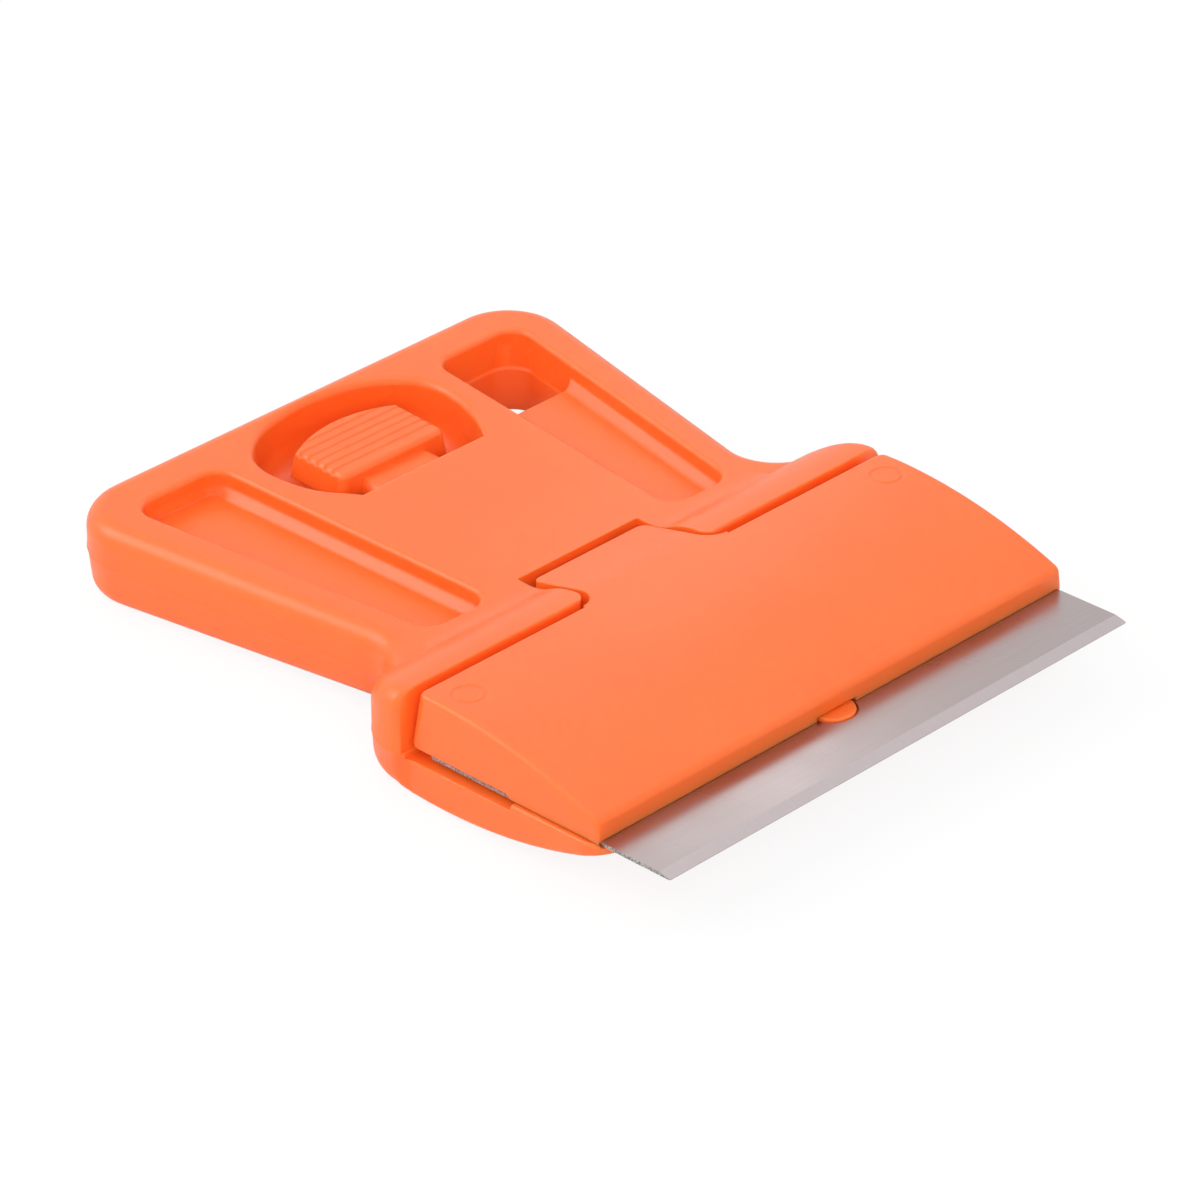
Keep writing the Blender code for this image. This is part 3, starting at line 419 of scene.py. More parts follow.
body = {
    "railWidth": 0.6,  # beside the blade
    "railEdge": 0.22,
    "railRise": 0.12,
    "railLength": 8.3,
    "windowDrop": 0.3,  # lowered sides of the jaw behind the rails
    "windowInset": 1.2,
    "jawFront": 4.5,
    "jawCorner": 2.5,
    "noseThickness": 0.4,
    "noseLength": 2.2,
    "bellyHeight": 0.36,
    "bellyLead": 1.05,
    "bellyRise": 2.711,
    "bellyEdge": 0.5,
    "bladeRearGap": 1.65,
    "bedGap": 0.15,  # the bed ends before the rim
    "rimHeight": 7.59,
    "rimLand": 0.1,
    "rimRadius": 6.4,  # sloped back of the rim
    "rimFillet": 4.2,  # from that slope to the handle's top
    "filletSink": 0.001,
    "filletDepth": 1.6,
    "filletLead": 0.3,
    "rimEdge": 0.18,
    "rimEndRound": 1.3,
    "footRound": 1.6,
    "headOverhang": 0.65,
    "headLength": 4.75,
    "headCorner": 4.1,
    "shoulderLead": 0.35,
    "shoulderLength": 0.65,
    "shoulderRound": 0.7,
    "fadeLead": 0.2,  # the foot's rounding grows round the shoulder
    "fadeTail": 0.3,
    "roundRoom": 0.45,  # share of the wall's height that a rounding may take
    "jawStep": 0.4,  # between two cross sections
    "headStep": 0.12,
    "sectionGap": 0.03,  # no other section is closer to the rim's front face
    "faceStep": 0.004,  # the step up to it
    "handleEdge": 1.4,
    "neckHalfWidth": 15.75,
    "neckSetback": 5.75,
    "neckFillet": 3.2,
    "rearHalfWidth": 20.72,
    "handleCorner": 4.4,
    "flareInset": 2.5,
    "flareSetback": 4.55,
    "flareRound": 1.6,
    "rootInset": 1.1,  # the handle starts inside the head
    "rootSetback": 2.55,
    "rootLength": 2.0,
    "partingHeight": 3.33,
    "partingProud": 0.045,
    "partingWidth": 0.09,
    "partingShift": 0.006,  # head and handle not quite in line, for a clean union
    "partingRoom": 0.3,  # share of the wall kept free of the parting line at either end
    "ridgeShare": 0.9,
    "ridgeRoom": 0.2,
    "draft": 0.18,
}
slot = {
    "halfWidth": 5.25,
    "length": 6.2,
    "corner": 1.0,
    "lead": 0.9,
    "floor": 2.3,
    "plateThickness": 0.67,
    "channelHalfWidth": 3.45,
    "channelFloor": 2.15,
}
well = {
    "length": 11.6,
    "rearWall": 1.3,
    "frontHalfWidth": 5.29,
    "halfWidth": 7.65,
    "floor": 2.0,
    "rim": 0.55,  # soft lip at the rear, fading out towards the crisp front edge
    "rimOut": 0.38,  # how far the lip reaches past the outline
    "rimFade": 3.0,
    "floorFillet": 1.9,
    "leastFillet": 0.04,  # share of it left at the front wall
    # half of the rear outline, as shares of its half width and of its length
    "shares": (
        (0.775, 0.085), (0.86, 0.175), (0.94, 0.3), (0.988, 0.44), (1.0, 0.58), (0.955, 0.705),
        (0.86, 0.795), (0.72, 0.875), (0.52, 0.945), (0.27, 0.985), (0.0, 1.0)),
}
pocket = {
    "setback": 5.7,
    "rearWall": 3.55,
    "frontInner": 7.77,
    "frontOuter": 13.17,
    "rearInner": 9.5,
    "rearOuter": 17.0,
    "depth": 1.72,
    "web": 2.3,  # plastic left between the top pocket and the lower one
    "corner": 1.6,
    "rim": 0.38,
    "rimOut": 0.24,
    "foot": 0.62,  # slanted foot of the side walls
    "footRound": 0.15,
    "footFade": 0.7,  # share of the foot that is gone on the rear wall
    "holeShare": 0.2812,  # of the pocket's length
    "holeLand": 1.3,
    "holeCorner": 1.9,
    "holeWaist": 0.2,  # drawn in at the parting line
    "holeFoot": 0.12,
    # height over the parting line and inset past the waist, across the ridge that it leaves
    "holeRidge": ((-0.22, 0.03), (-0.06, 0.09), (0.04, 0.09), (0.2, -0.03)),
    "holeStep": 0.004,  # keeps the hole's wall out of the pocket's
    "holeTopGap": 0.02,
}
post = {"radius": 1.44, "setback": 6.05, "proud": 0.2, "edge": 0.12}
gaps = {"seat": 0.1, "skirt": 0.15, "running": 0.3}

jawHalf = blade["width"] / 2 + body["railWidth"]
headHalf = jawHalf + body["headOverhang"]
rimFront = blade["depth"] + body["bladeRearGap"]
handleTop = scraper["handleTop"]
pocketStart = rimFront + pocket["setback"]
rearLimit = scraper["length"] - pocket["rearWall"]
holeFront = rearLimit - (rearLimit - pocketStart) * pocket["holeShare"]
topFloor = handleTop - pocket["depth"]
wellFront = scraper["length"] - well["rearWall"] - well["length"]


def undersideHeight(y):
    return (scraper["length"] - y) * handleSlope


def handleOutline():
    half = [
        (headHalf - body["rootInset"], rimFront + body["rootSetback"] - body["rootLength"], 0),
        (headHalf - body["rootInset"], rimFront + body["rootSetback"], 0),
        (headHalf - body["flareInset"], rimFront + body["flareSetback"], body["flareRound"]),
        (body["neckHalfWidth"], rimFront + body["neckSetback"], body["neckFillet"]),
        (body["rearHalfWidth"], scraper["length"], body["handleCorner"]),
    ]
    return roundCorners(mirrorHalf(half))


def handleRing(outline, inset, height):  # drawn in everywhere but at the root inside the head
    amounts = [-inset * ease(y, rimFront, rimFront + body["rootSetback"]) for x, y in outline]
    return [(x, y, height(y)) for x, y in spread(outline, amounts)]


def handleSlab():
    outline = handleOutline()
    edge, draft, ridge = body["handleEdge"], body["draft"], body["partingWidth"]
    rings = []
    for inset, drop in reversed(quarter(edge, 8)):  # lower edge, on the sloping underside
        rings.append(handleRing(outline, inset + draft, lambda y: undersideHeight(y) + drop))
    for inset, rise in ((0.01, -ridge), (-body["partingProud"], 0.0), (0.0, ridge)):  # parting line
        rings.append(handleRing(outline, inset, lambda y: body["partingHeight"] + rise))
    for inset, drop in quarter(edge, 8):
        rings.append(handleRing(outline, inset, lambda y: handleTop - drop))
    return loft("bodyShell", rings)


ridgeY = rimFront + body["rimLand"]
ridgeZ = body["rimHeight"] - body["rimRadius"]


def headTop(y):  # rim's slope behind its front face, jaw's rail before it
    if y < rimFront:
        return seatHeight(y) + body["railRise"]
    if y < ridgeY:
        return body["rimHeight"]
    return ridgeZ + math.sqrt(max(0.0, body["rimRadius"] ** 2 - (y - ridgeY) ** 2))


def headBottom(y):
    start = rimFront - body["bellyLead"]
    run = start - body["jawFront"] - body["noseLength"]
    radius = (run ** 2 + body["bellyRise"] ** 2) / (2 * body["bellyRise"])
    noseRear = body["jawFront"] + body["noseLength"]
    if y >= noseRear:
        return body["bellyHeight"] + radius - math.sqrt(radius ** 2 - (start - y) ** 2)
    noseTop = seatHeight(body["jawFront"]) + body["railRise"] - body["noseThickness"]
    share = (y - body["jawFront"]) / body["noseLength"]
    return noseTop + (headBottom(noseRear) - noseTop) * share


def headSection(halfWidth, y):  # one cross section, from the foot up to the top edge
    top = headTop(y)
    bottom = headBottom(y)
    if y >= rimFront:  # front edge of the rim
        into = max(0.0, body["rimEdge"] - (y - rimFront))
        top -= body["rimEdge"] - math.sqrt(body["rimEdge"] ** 2 - into ** 2)
    room = (top - bottom) * body["roundRoom"]
    upper = min(body["rimEndRound"] if y >= rimFront else body["railEdge"], room)
    shoulder = rimFront - body["shoulderLead"]
    foot = ease(y, shoulder - body["fadeLead"], shoulder + body["shoulderLength"] + body["fadeTail"])
    lower = min(body["bellyEdge"] + (body["footRound"] - body["bellyEdge"]) * foot, room)
    low, high = bottom + lower, top - upper
    margin = (high - low) * body["partingRoom"]
    parting = min(max(body["partingHeight"] + body["partingShift"], low + margin), high - margin)
    proud = body["partingProud"] * foot
    draft = body["draft"] * foot
    section = []
    for inset, drop in reversed(quarter(lower, 8)):
        lean = draft * (parting - bottom - drop) / (parting - bottom)
        section.append((halfWidth - inset - lean, bottom + drop))
    ridge = min(body["partingWidth"] * body["ridgeShare"], (high - low) * body["ridgeRoom"])
    section += [(halfWidth, parting - ridge), (halfWidth + proud, parting), (halfWidth, parting + ridge)]
    section += [(halfWidth - inset, top - drop) for inset, drop in quarter(upper, 8)]
    return section


def headBlock():
    half = [
        (0, body["jawFront"], 0),
        (jawHalf, body["jawFront"], body["jawCorner"]),
        (jawHalf, rimFront - body["shoulderLead"], body["shoulderRound"]),
        (headHalf, rimFront - body["shoulderLead"] + body["shoulderLength"], body["shoulderRound"]),
        (headHalf, rimFront + body["headLength"], body["headCorner"]),
        (0, rimFront + body["headLength"], 0),
    ]
    places = roundCorners(half)[1:-1]
    stations = []
    for (x, y), (afterX, afterY) in zip(places, places[1:]):
        spacing = body["jawStep"] if afterY < rimFront else body["headStep"]
        count = max(1, math.ceil((afterY - y) / spacing))
        for step in range(count):
            share = step / count
            stations.append((x + (afterX - x) * share, y + (afterY - y) * share))
    stations.append(places[-1])
    stations = [row for row in stations if abs(row[1] - rimFront) > body["sectionGap"]]
    front = [row for row in stations if row[1] < rimFront]
    rear = [row for row in stations if row[1] > rimFront]
    share = (rimFront - front[-1][1]) / (rear[0][1] - front[-1][1])
    wide = front[-1][0] + (rear[0][0] - front[-1][0]) * share
    face = [(wide, rimFront - body["faceStep"]), (wide, rimFront)]
    rings = []
    for x, y in front + face + rear:
        section = headSection(x, y)
        rings.append([(a, y, b) for a, b in section] + [(-a, y, b) for a, b in reversed(section)])
    return loft("headBlock", rings)


def rimFilletBar():  # concave fillet between the rim's slope and the handle's top
    fillet, sink = body["rimFillet"], body["filletSink"]
    rise = handleTop + fillet - sink - ridgeZ
    span = body["rimRadius"] + fillet - sink
    run = math.sqrt(span ** 2 - rise ** 2)
    angle = math.degrees(math.atan2(rise, run))
    centre = (ridgeY + run, ridgeZ + rise)
    profile = arcPoints(centre, fillet, angle + 180, 270)
    bottom = handleTop - body["filletDepth"]
    profile.append((centre[0], bottom))
    profile.append((profile[0][0] - body["filletLead"], bottom))
    flat = body["neckHalfWidth"] - body["handleEdge"]
    rings = []
    for inset, drop in quarter(body["handleEdge"], 6):  # follows the rounded edge of the neck down
        rings.append((-flat - body["handleEdge"] + inset, drop))
    rings += [(-x, drop) for x, drop in reversed(rings)]
    return loft("rimFilletBar", [[(x, y, z - drop) for y, z in profile] for x, drop in rings])


def bedCutters():
    front, rear = body["jawFront"] - overrun, rimFront - body["bedGap"]
    bed = seatLine(front, rear, -gaps["seat"]) + [(rear, body["rimHeight"]), (front, body["rimHeight"])]
    half = blade["width"] / 2 + gaps["skirt"]
    start = body["jawFront"] + body["railLength"]
    window = seatLine(start, rear, -body["windowDrop"]) + [
        (rear, body["rimHeight"]), (start, body["rimHeight"])]
    inner, outer = jawHalf - body["windowInset"], headHalf + overrun
    return [
        bar("bedCutter", bed, -half, half),
        bar("leftWindow", window, -outer, -inner),
        bar("rightWindow", window, inner, outer)]


def slotCutters():
    front = rimFront - slot["lead"]
    wide = slot["halfWidth"] + 2 * slot["corner"]
    half = [
        (wide, front, 0), (wide, rimFront - body["rimEdge"], 0),
        (slot["halfWidth"], rimFront, slot["corner"]),
        (slot["halfWidth"], rimFront + slot["length"], body["rimEdge"])]
    outline = roundCorners(mirrorHalf(half))
    opening = plate("slotCutter", outline, slot["floor"], body["rimHeight"] + overrun)
    across = slot["channelHalfWidth"]
    start, end = rimFront + slot["length"] - overrun, wellFront + overrun
    channel = mirrorHalf([(across, start), (across, end)])
    roof = handleTop - slot["plateThickness"]
    return [opening, plate("channelCutter", channel, slot["channelFloor"], roof)]


def wellCutter():
    half = [(well["frontHalfWidth"], wellFront)]
    for wide, along in well["shares"]:
        half.append((well["halfWidth"] * wide, wellFront + well["length"] * along))
    ring = smoothRing(mirrorHalf(half))
    fades = [ease(y, wellFront, wellFront + well["rimFade"]) for x, y in ring]
    inside = well["rim"] - well["rimOut"]
    rings = []
    for inset, drop in reversed(quarter(well["floorFillet"], 8)):
        amounts = [-(inset + inside) * max(well["leastFillet"], share) for share in fades]
        rings.append([(x, y, well["floor"] + drop) for x, y in spread(ring, amounts)])
    for inset, drop in quarter(well["rim"], 6):
        amounts = [(inset - inside) * share for share in fades]
        heights = [handleTop - hairline - drop * share for share in fades]
        rings.append([(x, y, z) for (x, y), z in zip(spread(ring, amounts), heights)])
    rings.append([(x, y, handleTop + overrun) for x, y, z in rings[-1]])
    return loft("wellCutter", rings)


def smoothRing(points):  # finer, rounder version of a coarse ring with one straight side
    half = [Vector(point) for point in points if point[0] >= 0]
    fine = []
    for index in range(len(half) - 1):
        a = half[max(0, index - 1)]
        b, c = half[index], half[index + 1]
        d = half[index + 2] if index + 2 < len(half) else Vector((-half[-2].x, half[-2].y))
        if index == 0:
            a = b
        for t in (0.0, 0.25, 0.5, 0.75):
            point = 0.5 * (2 * b + (c - a) * t + (2 * a - 5 * b + 4 * c - d) * t ** 2
                           + (3 * b - a - 3 * c + d) * t ** 3)
            fine.append((point.x, point.y))
    fine.append((0.0, half[-1].y))
    return mirrorHalf(fine)


def pocketSides(y):  # how far out its two side walls stand
    share = (y - pocketStart) / (rearLimit - pocketStart)
    inner = pocket["frontInner"] + (pocket["rearInner"] - pocket["frontInner"]) * share
    outer = pocket["frontOuter"] + (pocket["rearOuter"] - pocket["frontOuter"]) * share
    return inner, outer


def pocketOutline(side, rear):
    inner, outer = pocketSides(rear)
    return roundCorners([
        (side * pocket["frontInner"], pocketStart, pocket["corner"]),
        (side * pocket["frontOuter"], pocketStart, pocket["corner"]),
        (side * outer, rear, pocket["corner"]),
        (side * inner, rear, pocket["corner"])])


def pocketCutter(name, side, rear, floor, mouth):
    up = 1 if mouth > floor else -1
    outline = pocketOutline(side, rear)
    inside = pocket["rim"] - pocket["rimOut"] if up > 0 else 0.0
    foot, bend = pocket["foot"], pocket["footRound"]
    fades = [1.0 - pocket["footFade"] * ease(y, rear - pocket["corner"], rear) for x, y in outline]
    slant = [  # (inset, rise) from the floor up the foot to the wall, bent softly at both ends
        (foot + bend, 0.0), (foot, 0.02), (foot - bend, bend * 0.8),
        (bend, foot - bend * 0.6), (bend * 0.3, foot), (0.0, foot + bend)]
    rings = []
    for inset, rise in slant:
        amounts = [-inset * share - inside for share in fades]
        rings.append([(x, y, floor + up * rise) for x, y in spread(outline, amounts)])
    if up > 0:  # soft lip at the handle's top
        for inset, drop in quarter(pocket["rim"], 5):
            rings.append([(x, y, mouth - hairline - drop) for x, y in spread(outline, inset - inside)])
    rings.append([(x, y, mouth + up * overrun) for x, y, z in rings[-1]])
    return loft(name, rings)


def holeCutter():
    inner, outer = pocketSides(holeFront)
    corner, parting = pocket["corner"], body["partingHeight"]
    lip = pocket["rim"] - pocket["rimOut"]
    waist, foot, wide = pocket["holeWaist"], pocket["holeFoot"], pocket["holeCorner"]
    levels = [(-overrun, foot + (foot - waist) * overrun / parting, wide)]
    for rise, inset in pocket["holeRidge"]:
        levels.append((parting + rise, waist + inset, wide))
    footTop = topFloor + pocket["foot"] + pocket["footRound"]
    for z in (footTop, handleTop - pocket["rim"] - pocket["holeTopGap"]):
        levels.append((z, lip + pocket["holeStep"], corner - lip))
    rings = []
    for z, inset, bend in levels:
        outline = roundCorners([
            (inner + inset, holeFront, corner / 4), (outer - inset, holeFront, corner / 4),
            (pocket["rearOuter"] - inset, rearLimit - inset, bend),
            (pocket["rearInner"] + inset, rearLimit - inset, bend)])
        rings.append([(x, y, z) for x, y in outline])
    return loft("holeCutter", rings)


def jawPost():
    top = seatHeight(post["setback"]) + blade["thickness"] + post["proud"]
    circle = circlePoints((0, post["setback"]), post["radius"])
    rings = [[(x, y, seatHeight(post["setback"]) - body["noseThickness"]) for x, y in circle]]
    for inset, drop in quarter(post["edge"], 4):
        rings.append([(x, y, top - drop) for x, y in spread(circle, -inset)])
    return loft("jawPost", rings)


bodyShell = handleSlab()
combine(bodyShell, "UNION", headBlock(), rimFilletBar())
cutters = bedCutters() + slotCutters() + [wellCutter()]
for side, word in ((1, "right"), (-1, "left")):
    cutters.append(pocketCutter(word + "TopPocket", side, rearLimit, topFloor, handleTop))
    lowRear = holeFront - pocket["holeLand"] if side > 0 else rearLimit
    cutters.append(pocketCutter(word + "LowPocket", side, lowRear, topFloor - pocket["web"], -overrun))
cutters.append(holeCutter())
combine(bodyShell, "DIFFERENCE", *cutters)
combine(bodyShell, "UNION", jawPost())
settle(bodyShell, bodyAbs, "body", "handle_body")


# Clamp cover

cover = {
    "overhang": 0.3,  # past the blade's ends
    "lip": 5.7,  # front end, behind the cutting edge
    "lipLean": 0.1,
    "lipTop": 0.6,
    "lipDrop": 2.018,  # below the crest
    "crestLead": 4.05,  # crest before the rim's front face
    "crestHeight": 7.89,
    "crownSteps": 32,
    "rearGap": 0.12,
    "rearLean": 0.63,
    "rearRound": 0.45,
    "corner": 0.75,
    "cornerFoot": 0.12,  # share of the corner left at the foot
    "cornerLead": 1.0,
    "cornerTail": 0.4,
    "edge": 0.3,
    "footEdge": 0.4,  # share of the edge left at the foot
    "footRound": 0.35,
    "footBand": 0.05,
    "skirtLength": 7.4,
    "skirtStep": 0.5,
    "skirtRise": 0.3,
    "skirtHeight": 0.14,
    "bladeGap": 0.02,
    "root": 1.6,  # how far the tab reaches into the cover
    "rootDrop": 0.15,
    "flareGap": 0.05,
    "tabHalfWidth": 4.8,
    "tabRearGap": 0.85,
    "tabRearHeight": 6.23,
    "tabRearSlope": 0.29,
    "tabBreakSetback": 0.65,
    "tabBreakHeight": 7.6,
    "tabBreakRadius": 8.0,
    "tabCorner": 0.6,
    "tabEdge": 0.16,
    "heelLength": 2.2,
    "travel": 2.6,
    "markPlace": (18.2, 18.85),
    "markRadius": 1.0,
    "markWidth": 0.15,
    "markSink": 0.065,
    "markSwell": 1.1,
    "markLift": 0.05,
    "markSteps": (48, 12),
}
tongue = {"halfWidth": 3.05, "thickness": 1.1, "gap": 0.35}
coverHalf = blade["width"] / 2 + cover["overhang"]
coverRear = rimFront - cover["rearGap"] - cover["rearLean"]
coverCrest = rimFront - cover["crestLead"]
crownRun = coverCrest - cover["lip"] - cover["lipLean"]
crownRadius = (crownRun ** 2 + cover["lipDrop"] ** 2) / (2 * cover["lipDrop"])
tabRear = rimFront + slot["length"] - cover["tabRearGap"]
tongueTop = handleTop - slot["plateThickness"] - tongue["gap"]


def crownHeight(y):
    return cover["crestHeight"] - crownRadius + math.sqrt(crownRadius ** 2 - (coverCrest - y) ** 2)


def coverProfile():
    skirt = cover["skirtHeight"]
    stepFront = cover["lip"] + cover["skirtLength"]
    stepRear = stepFront + cover["skirtStep"]
    relief = skirt + cover["skirtRise"]
    foot = coverRear + cover["rearLean"]
    lipTop = cover["lip"] + cover["lipLean"]
    corners = [
        (cover["lip"], seatHeight(cover["lip"]) + skirt, 0),
        (stepFront, seatHeight(stepFront) + skirt, 0),
        (stepRear, seatHeight(stepRear) + relief, 0),
        (foot, seatHeight(foot) + relief, cover["footRound"]),
        (coverRear, crownHeight(coverRear), cover["rearRound"])]
    crownFront = lipTop + cover["lipTop"]
    for step in range(1, cover["crownSteps"]):
        y = coverRear + (crownFront - coverRear) * step / cover["crownSteps"]
        corners.append((y, crownHeight(y), 0))
    corners.append((lipTop, crownHeight(lipTop), cover["lipTop"]))
    return roundCorners(corners)


def coverBlock():
    profile = coverProfile()
    rearmost = max(y for y, z in profile)
    edge, corner = cover["edge"], cover["corner"]
    footTop = cover["skirtHeight"] + cover["skirtRise"] + cover["footBand"]
    shares = [cover["footEdge"] if z < seatHeight(y) + footTop else 1.0 for y, z in profile]
    steps = 10
    half = []
    for step in range(steps + 1):  # rounded ends, with the rear corners drawn in
        turn = math.pi / 2 * step / steps
        x = coverHalf - corner * (1 - math.sin(turn))
        into = max(0.0, x - (coverHalf - edge))
        inset = edge - math.sqrt(max(0.0, edge ** 2 - into ** 2))
        half.append((x, inset, corner * (1 - math.cos(turn))))
    cornerStart = rearmost - 2 * corner - cover["cornerLead"]
    cornerEnd = rearmost - cover["cornerTail"]
    rings = []
    for x, inset, drawn in [(-x, inset, drawn) for x, inset, drawn in reversed(half)] + half:
        ring = []
        for y, z in spread(profile, [-inset * share for share in shares]):
            upper = ease(z, seatHeight(coverRear), cover["crestHeight"])
            into = drawn * (cover["cornerFoot"] + (1 - cover["cornerFoot"]) * upper)  # grows upwards
            ring.append((x, y - into * ease(y, cornerStart, cornerEnd), z))
        rings.append(ring)
    return loft("coverShell", rings)


def coverCutters():
    half = blade["width"] / 2 + gaps["skirt"]
    front = cover["lip"] - overrun
    rear = cover["lip"] + cover["skirtLength"] + cover["skirtStep"]
    over = blade["thickness"] + cover["bladeGap"]
    room = seatLine(front, rear, -overrun) + seatLine(rear, front, over)
    grooveRear = post["setback"] + post["radius"] + cover["travel"] + gaps["running"]
    overPost = blade["thickness"] + post["proud"] + gaps["seat"]
    groove = seatLine(front, grooveRear, -overrun) + seatLine(grooveRear, front, overPost)
    across = post["radius"] + gaps["running"]
    return [bar("bladeRoom", room, -half, half), bar("postGroove", groove, -across, across)]


def moldMark(side):  # ring left by an ejector insert of the mould
    x, y = side * cover["markPlace"][0], cover["markPlace"][1]
    turns, steps = cover["markSteps"]
    work = bmesh.new()
    rows = []
    for turn in range(turns):
        around = math.tau * turn / turns
        row = []
        for step in range(steps):
            angle = math.tau * step / steps
            reach = cover["markRadius"] + cover["markWidth"] * math.cos(angle)
            px, py = x + reach * math.cos(around), y + reach * math.sin(around)
            sunk = cover["markSwell"] * math.sin(angle) + cover["markLift"]
            height = crownHeight(py) + cover["markSink"] * sunk
            row.append(work.verts.new((px, py, height)))
        rows.append(row)
    for index, row in enumerate(rows):
        after = rows[(index + 1) % turns]
        for step in range(steps):
            into = (step + 1) % steps
            work.faces.new((row[step], after[step], after[into], row[into]))
    return meshObject("moldMark", work)


def tabOutline():  # wider where it flares into the cover around the rim's lobes
    root = coverRear - cover["root"]
    across = slot["halfWidth"] + slot["corner"]
    behind = rimFront + slot["corner"]
    reach = across - cover["tabHalfWidth"]
    deep = behind - coverRear - cover["flareGap"]
    steps = 12
    half = [(across, root)]
    for step in range(steps + 1):
        turn = math.pi / 2 * step / steps
        half.append((across - reach * math.sin(turn), behind - deep * math.cos(turn)))
    corner = (cover["tabHalfWidth"] - cover["tabCorner"], tabRear - cover["tabCorner"])
    half += arcPoints(corner, cover["tabCorner"], 0, 90)
    return mirrorHalf(half)


def tabBlock():
    root = coverRear - cover["root"]
    relief = cover["skirtHeight"] + 2 * cover["skirtRise"]
    heelFront = rimFront - slot["lead"] + cover["travel"] + gaps["running"]
    foot = slot["floor"] + tongue["gap"]
    end = tabRear + overrun
    start = coverRear - 2 * cover["edge"]
    corners = [
        (root, seatHeight(root) + relief, 0), (heelFront, seatHeight(heelFront) + relief, 0),
        (heelFront, foot, 0), (end, foot, 0),
        (end, cover["tabRearHeight"] - overrun * cover["tabRearSlope"], 0),
        (rimFront + cover["tabBreakSetback"], cover["tabBreakHeight"], cover["tabBreakRadius"])]
    for step in range(4):
        y = coverRear + (start - coverRear) * step / 3
        corners.append((y, crownHeight(y) - hairline, 0))
    corners.append((root, crownHeight(root) - cover["rootDrop"], 0))
    tab = bar("tabBlock", roundCorners(corners), -coverHalf / 2, coverHalf / 2)
    combine(tab, "INTERSECT", plate("tabPlan", tabOutline(), 0.0, 2 * handleTop))
    return soften(tab, cover["tabEdge"])


def heelBlock():
    across = tongue["halfWidth"]
    front, rear = tabRear - overrun, tabRear + cover["heelLength"]
    outline = mirrorHalf([(across, front), (across, rear)])
    return plate("heelBlock", outline, slot["floor"] + 2 * tongue["gap"], tongueTop)


coverShell = coverBlock()
combine(coverShell, "DIFFERENCE", *coverCutters())
combine(coverShell, "UNION", tabBlock(), heelBlock())
combine(coverShell, "DIFFERENCE", moldMark(1), moldMark(-1))
settle(coverShell, coverAbs, "cover", "clamp_cover")


# Thumb latch

latch = {
    "setback": 2.9,  # pad behind the well's front wall
    "sideLength": 4.5,
    "arcRise": 1.25,
    "halfWidth": 4.35,
    "top": 5.9,
    "draft": 0.4,
    "frontDraft": 0.2,
    "topDraft": 0.12,
    "edge": 0.35,
    "corner": 0.45,
    "grooves": 6,
    "pitch": 0.77,
    "firstGroove": 1.0,
    "grooveWidth": 0.32,
    "grooveDepth": 0.11,
    # how far a groove has sunk at the places across the pad, so that its ends are scalloped
    "grooveSag": (
        (0.0, 0.0), (3.9, 0.0), (4.1, 0.04), (4.25, 0.11), (4.35, 0.18), (4.5, 0.26), (5.2, 0.6)),
    "tongueEdge": 0.8,
}


def padOutline(halfWidth, front, rear):
    rise = latch["arcRise"]
    radius = (halfWidth ** 2 + rise ** 2) / (2 * rise)
    sweep = math.asin(halfWidth / radius)
    corners = [(-halfWidth, front, latch["corner"]), (halfWidth, front, latch["corner"])]
    steps = 24
    for step in range(steps + 1):
        angle = math.pi / 2 - sweep + 2 * sweep * step / steps
        corners.append((radius * math.cos(angle), rear + rise - radius + radius * math.sin(angle), 0))
    return roundCorners(corners)


def latchShell():
    front = wellFront + latch["setback"]
    rear = front + latch["sideLength"]
    bottom = tongueTop - tongue["thickness"]
    start = tabRear + cover["heelLength"] + gaps["running"]
    across, edge = tongue["halfWidth"], latch["tongueEdge"]
    section = [(-across, bottom + gaps["seat"]), (across, bottom + gaps["seat"])]
    section += [(across - inset, tongueTop - drop) for inset, drop in quarter(edge, 5)]
    section += [(inset - across, tongueTop - drop) for inset, drop in reversed(quarter(edge, 5))]
    shell = loft("latchShell", [[(x, y, z) for x, z in section] for y in (start, front + overrun)])
    outline = padOutline(latch["halfWidth"], front, rear)
    foot = [(x, max(y, front - latch["frontDraft"])) for x, y in spread(outline, latch["draft"])]
    rings = [[(x, y, bottom) for x, y in foot]]
    for inset, drop in quarter(latch["edge"], 6):
        grow = latch["topDraft"] * drop / latch["edge"] - inset
        rings.append([(x, y, latch["top"] - drop) for x, y in spread(outline, grow)])
    pad = loft("pad", rings)
    grooves = []
    wide, deep, top = latch["grooveWidth"], latch["grooveDepth"], latch["top"]
    for index in range(latch["grooves"]):
        y = front + latch["firstGroove"] + index * latch["pitch"]
        profile = arcPoints((y, top - deep + wide / 2), wide / 2, 180, 360)
        profile += [(y + wide / 2, top + handleTop), (y - wide / 2, top + handleTop)]
        across = [(-x, sag) for x, sag in reversed(latch["grooveSag"][1:])] + list(latch["grooveSag"])
        grooves.append(loft("groove", [[(x, a, b - sag) for a, b in profile] for x, sag in across]))
    combine(pad, "DIFFERENCE", *grooves)
    combine(shell, "UNION", pad)
    return shell


settle(latchShell(), latchAbs, "latch", "thumb_latch")


# Blade

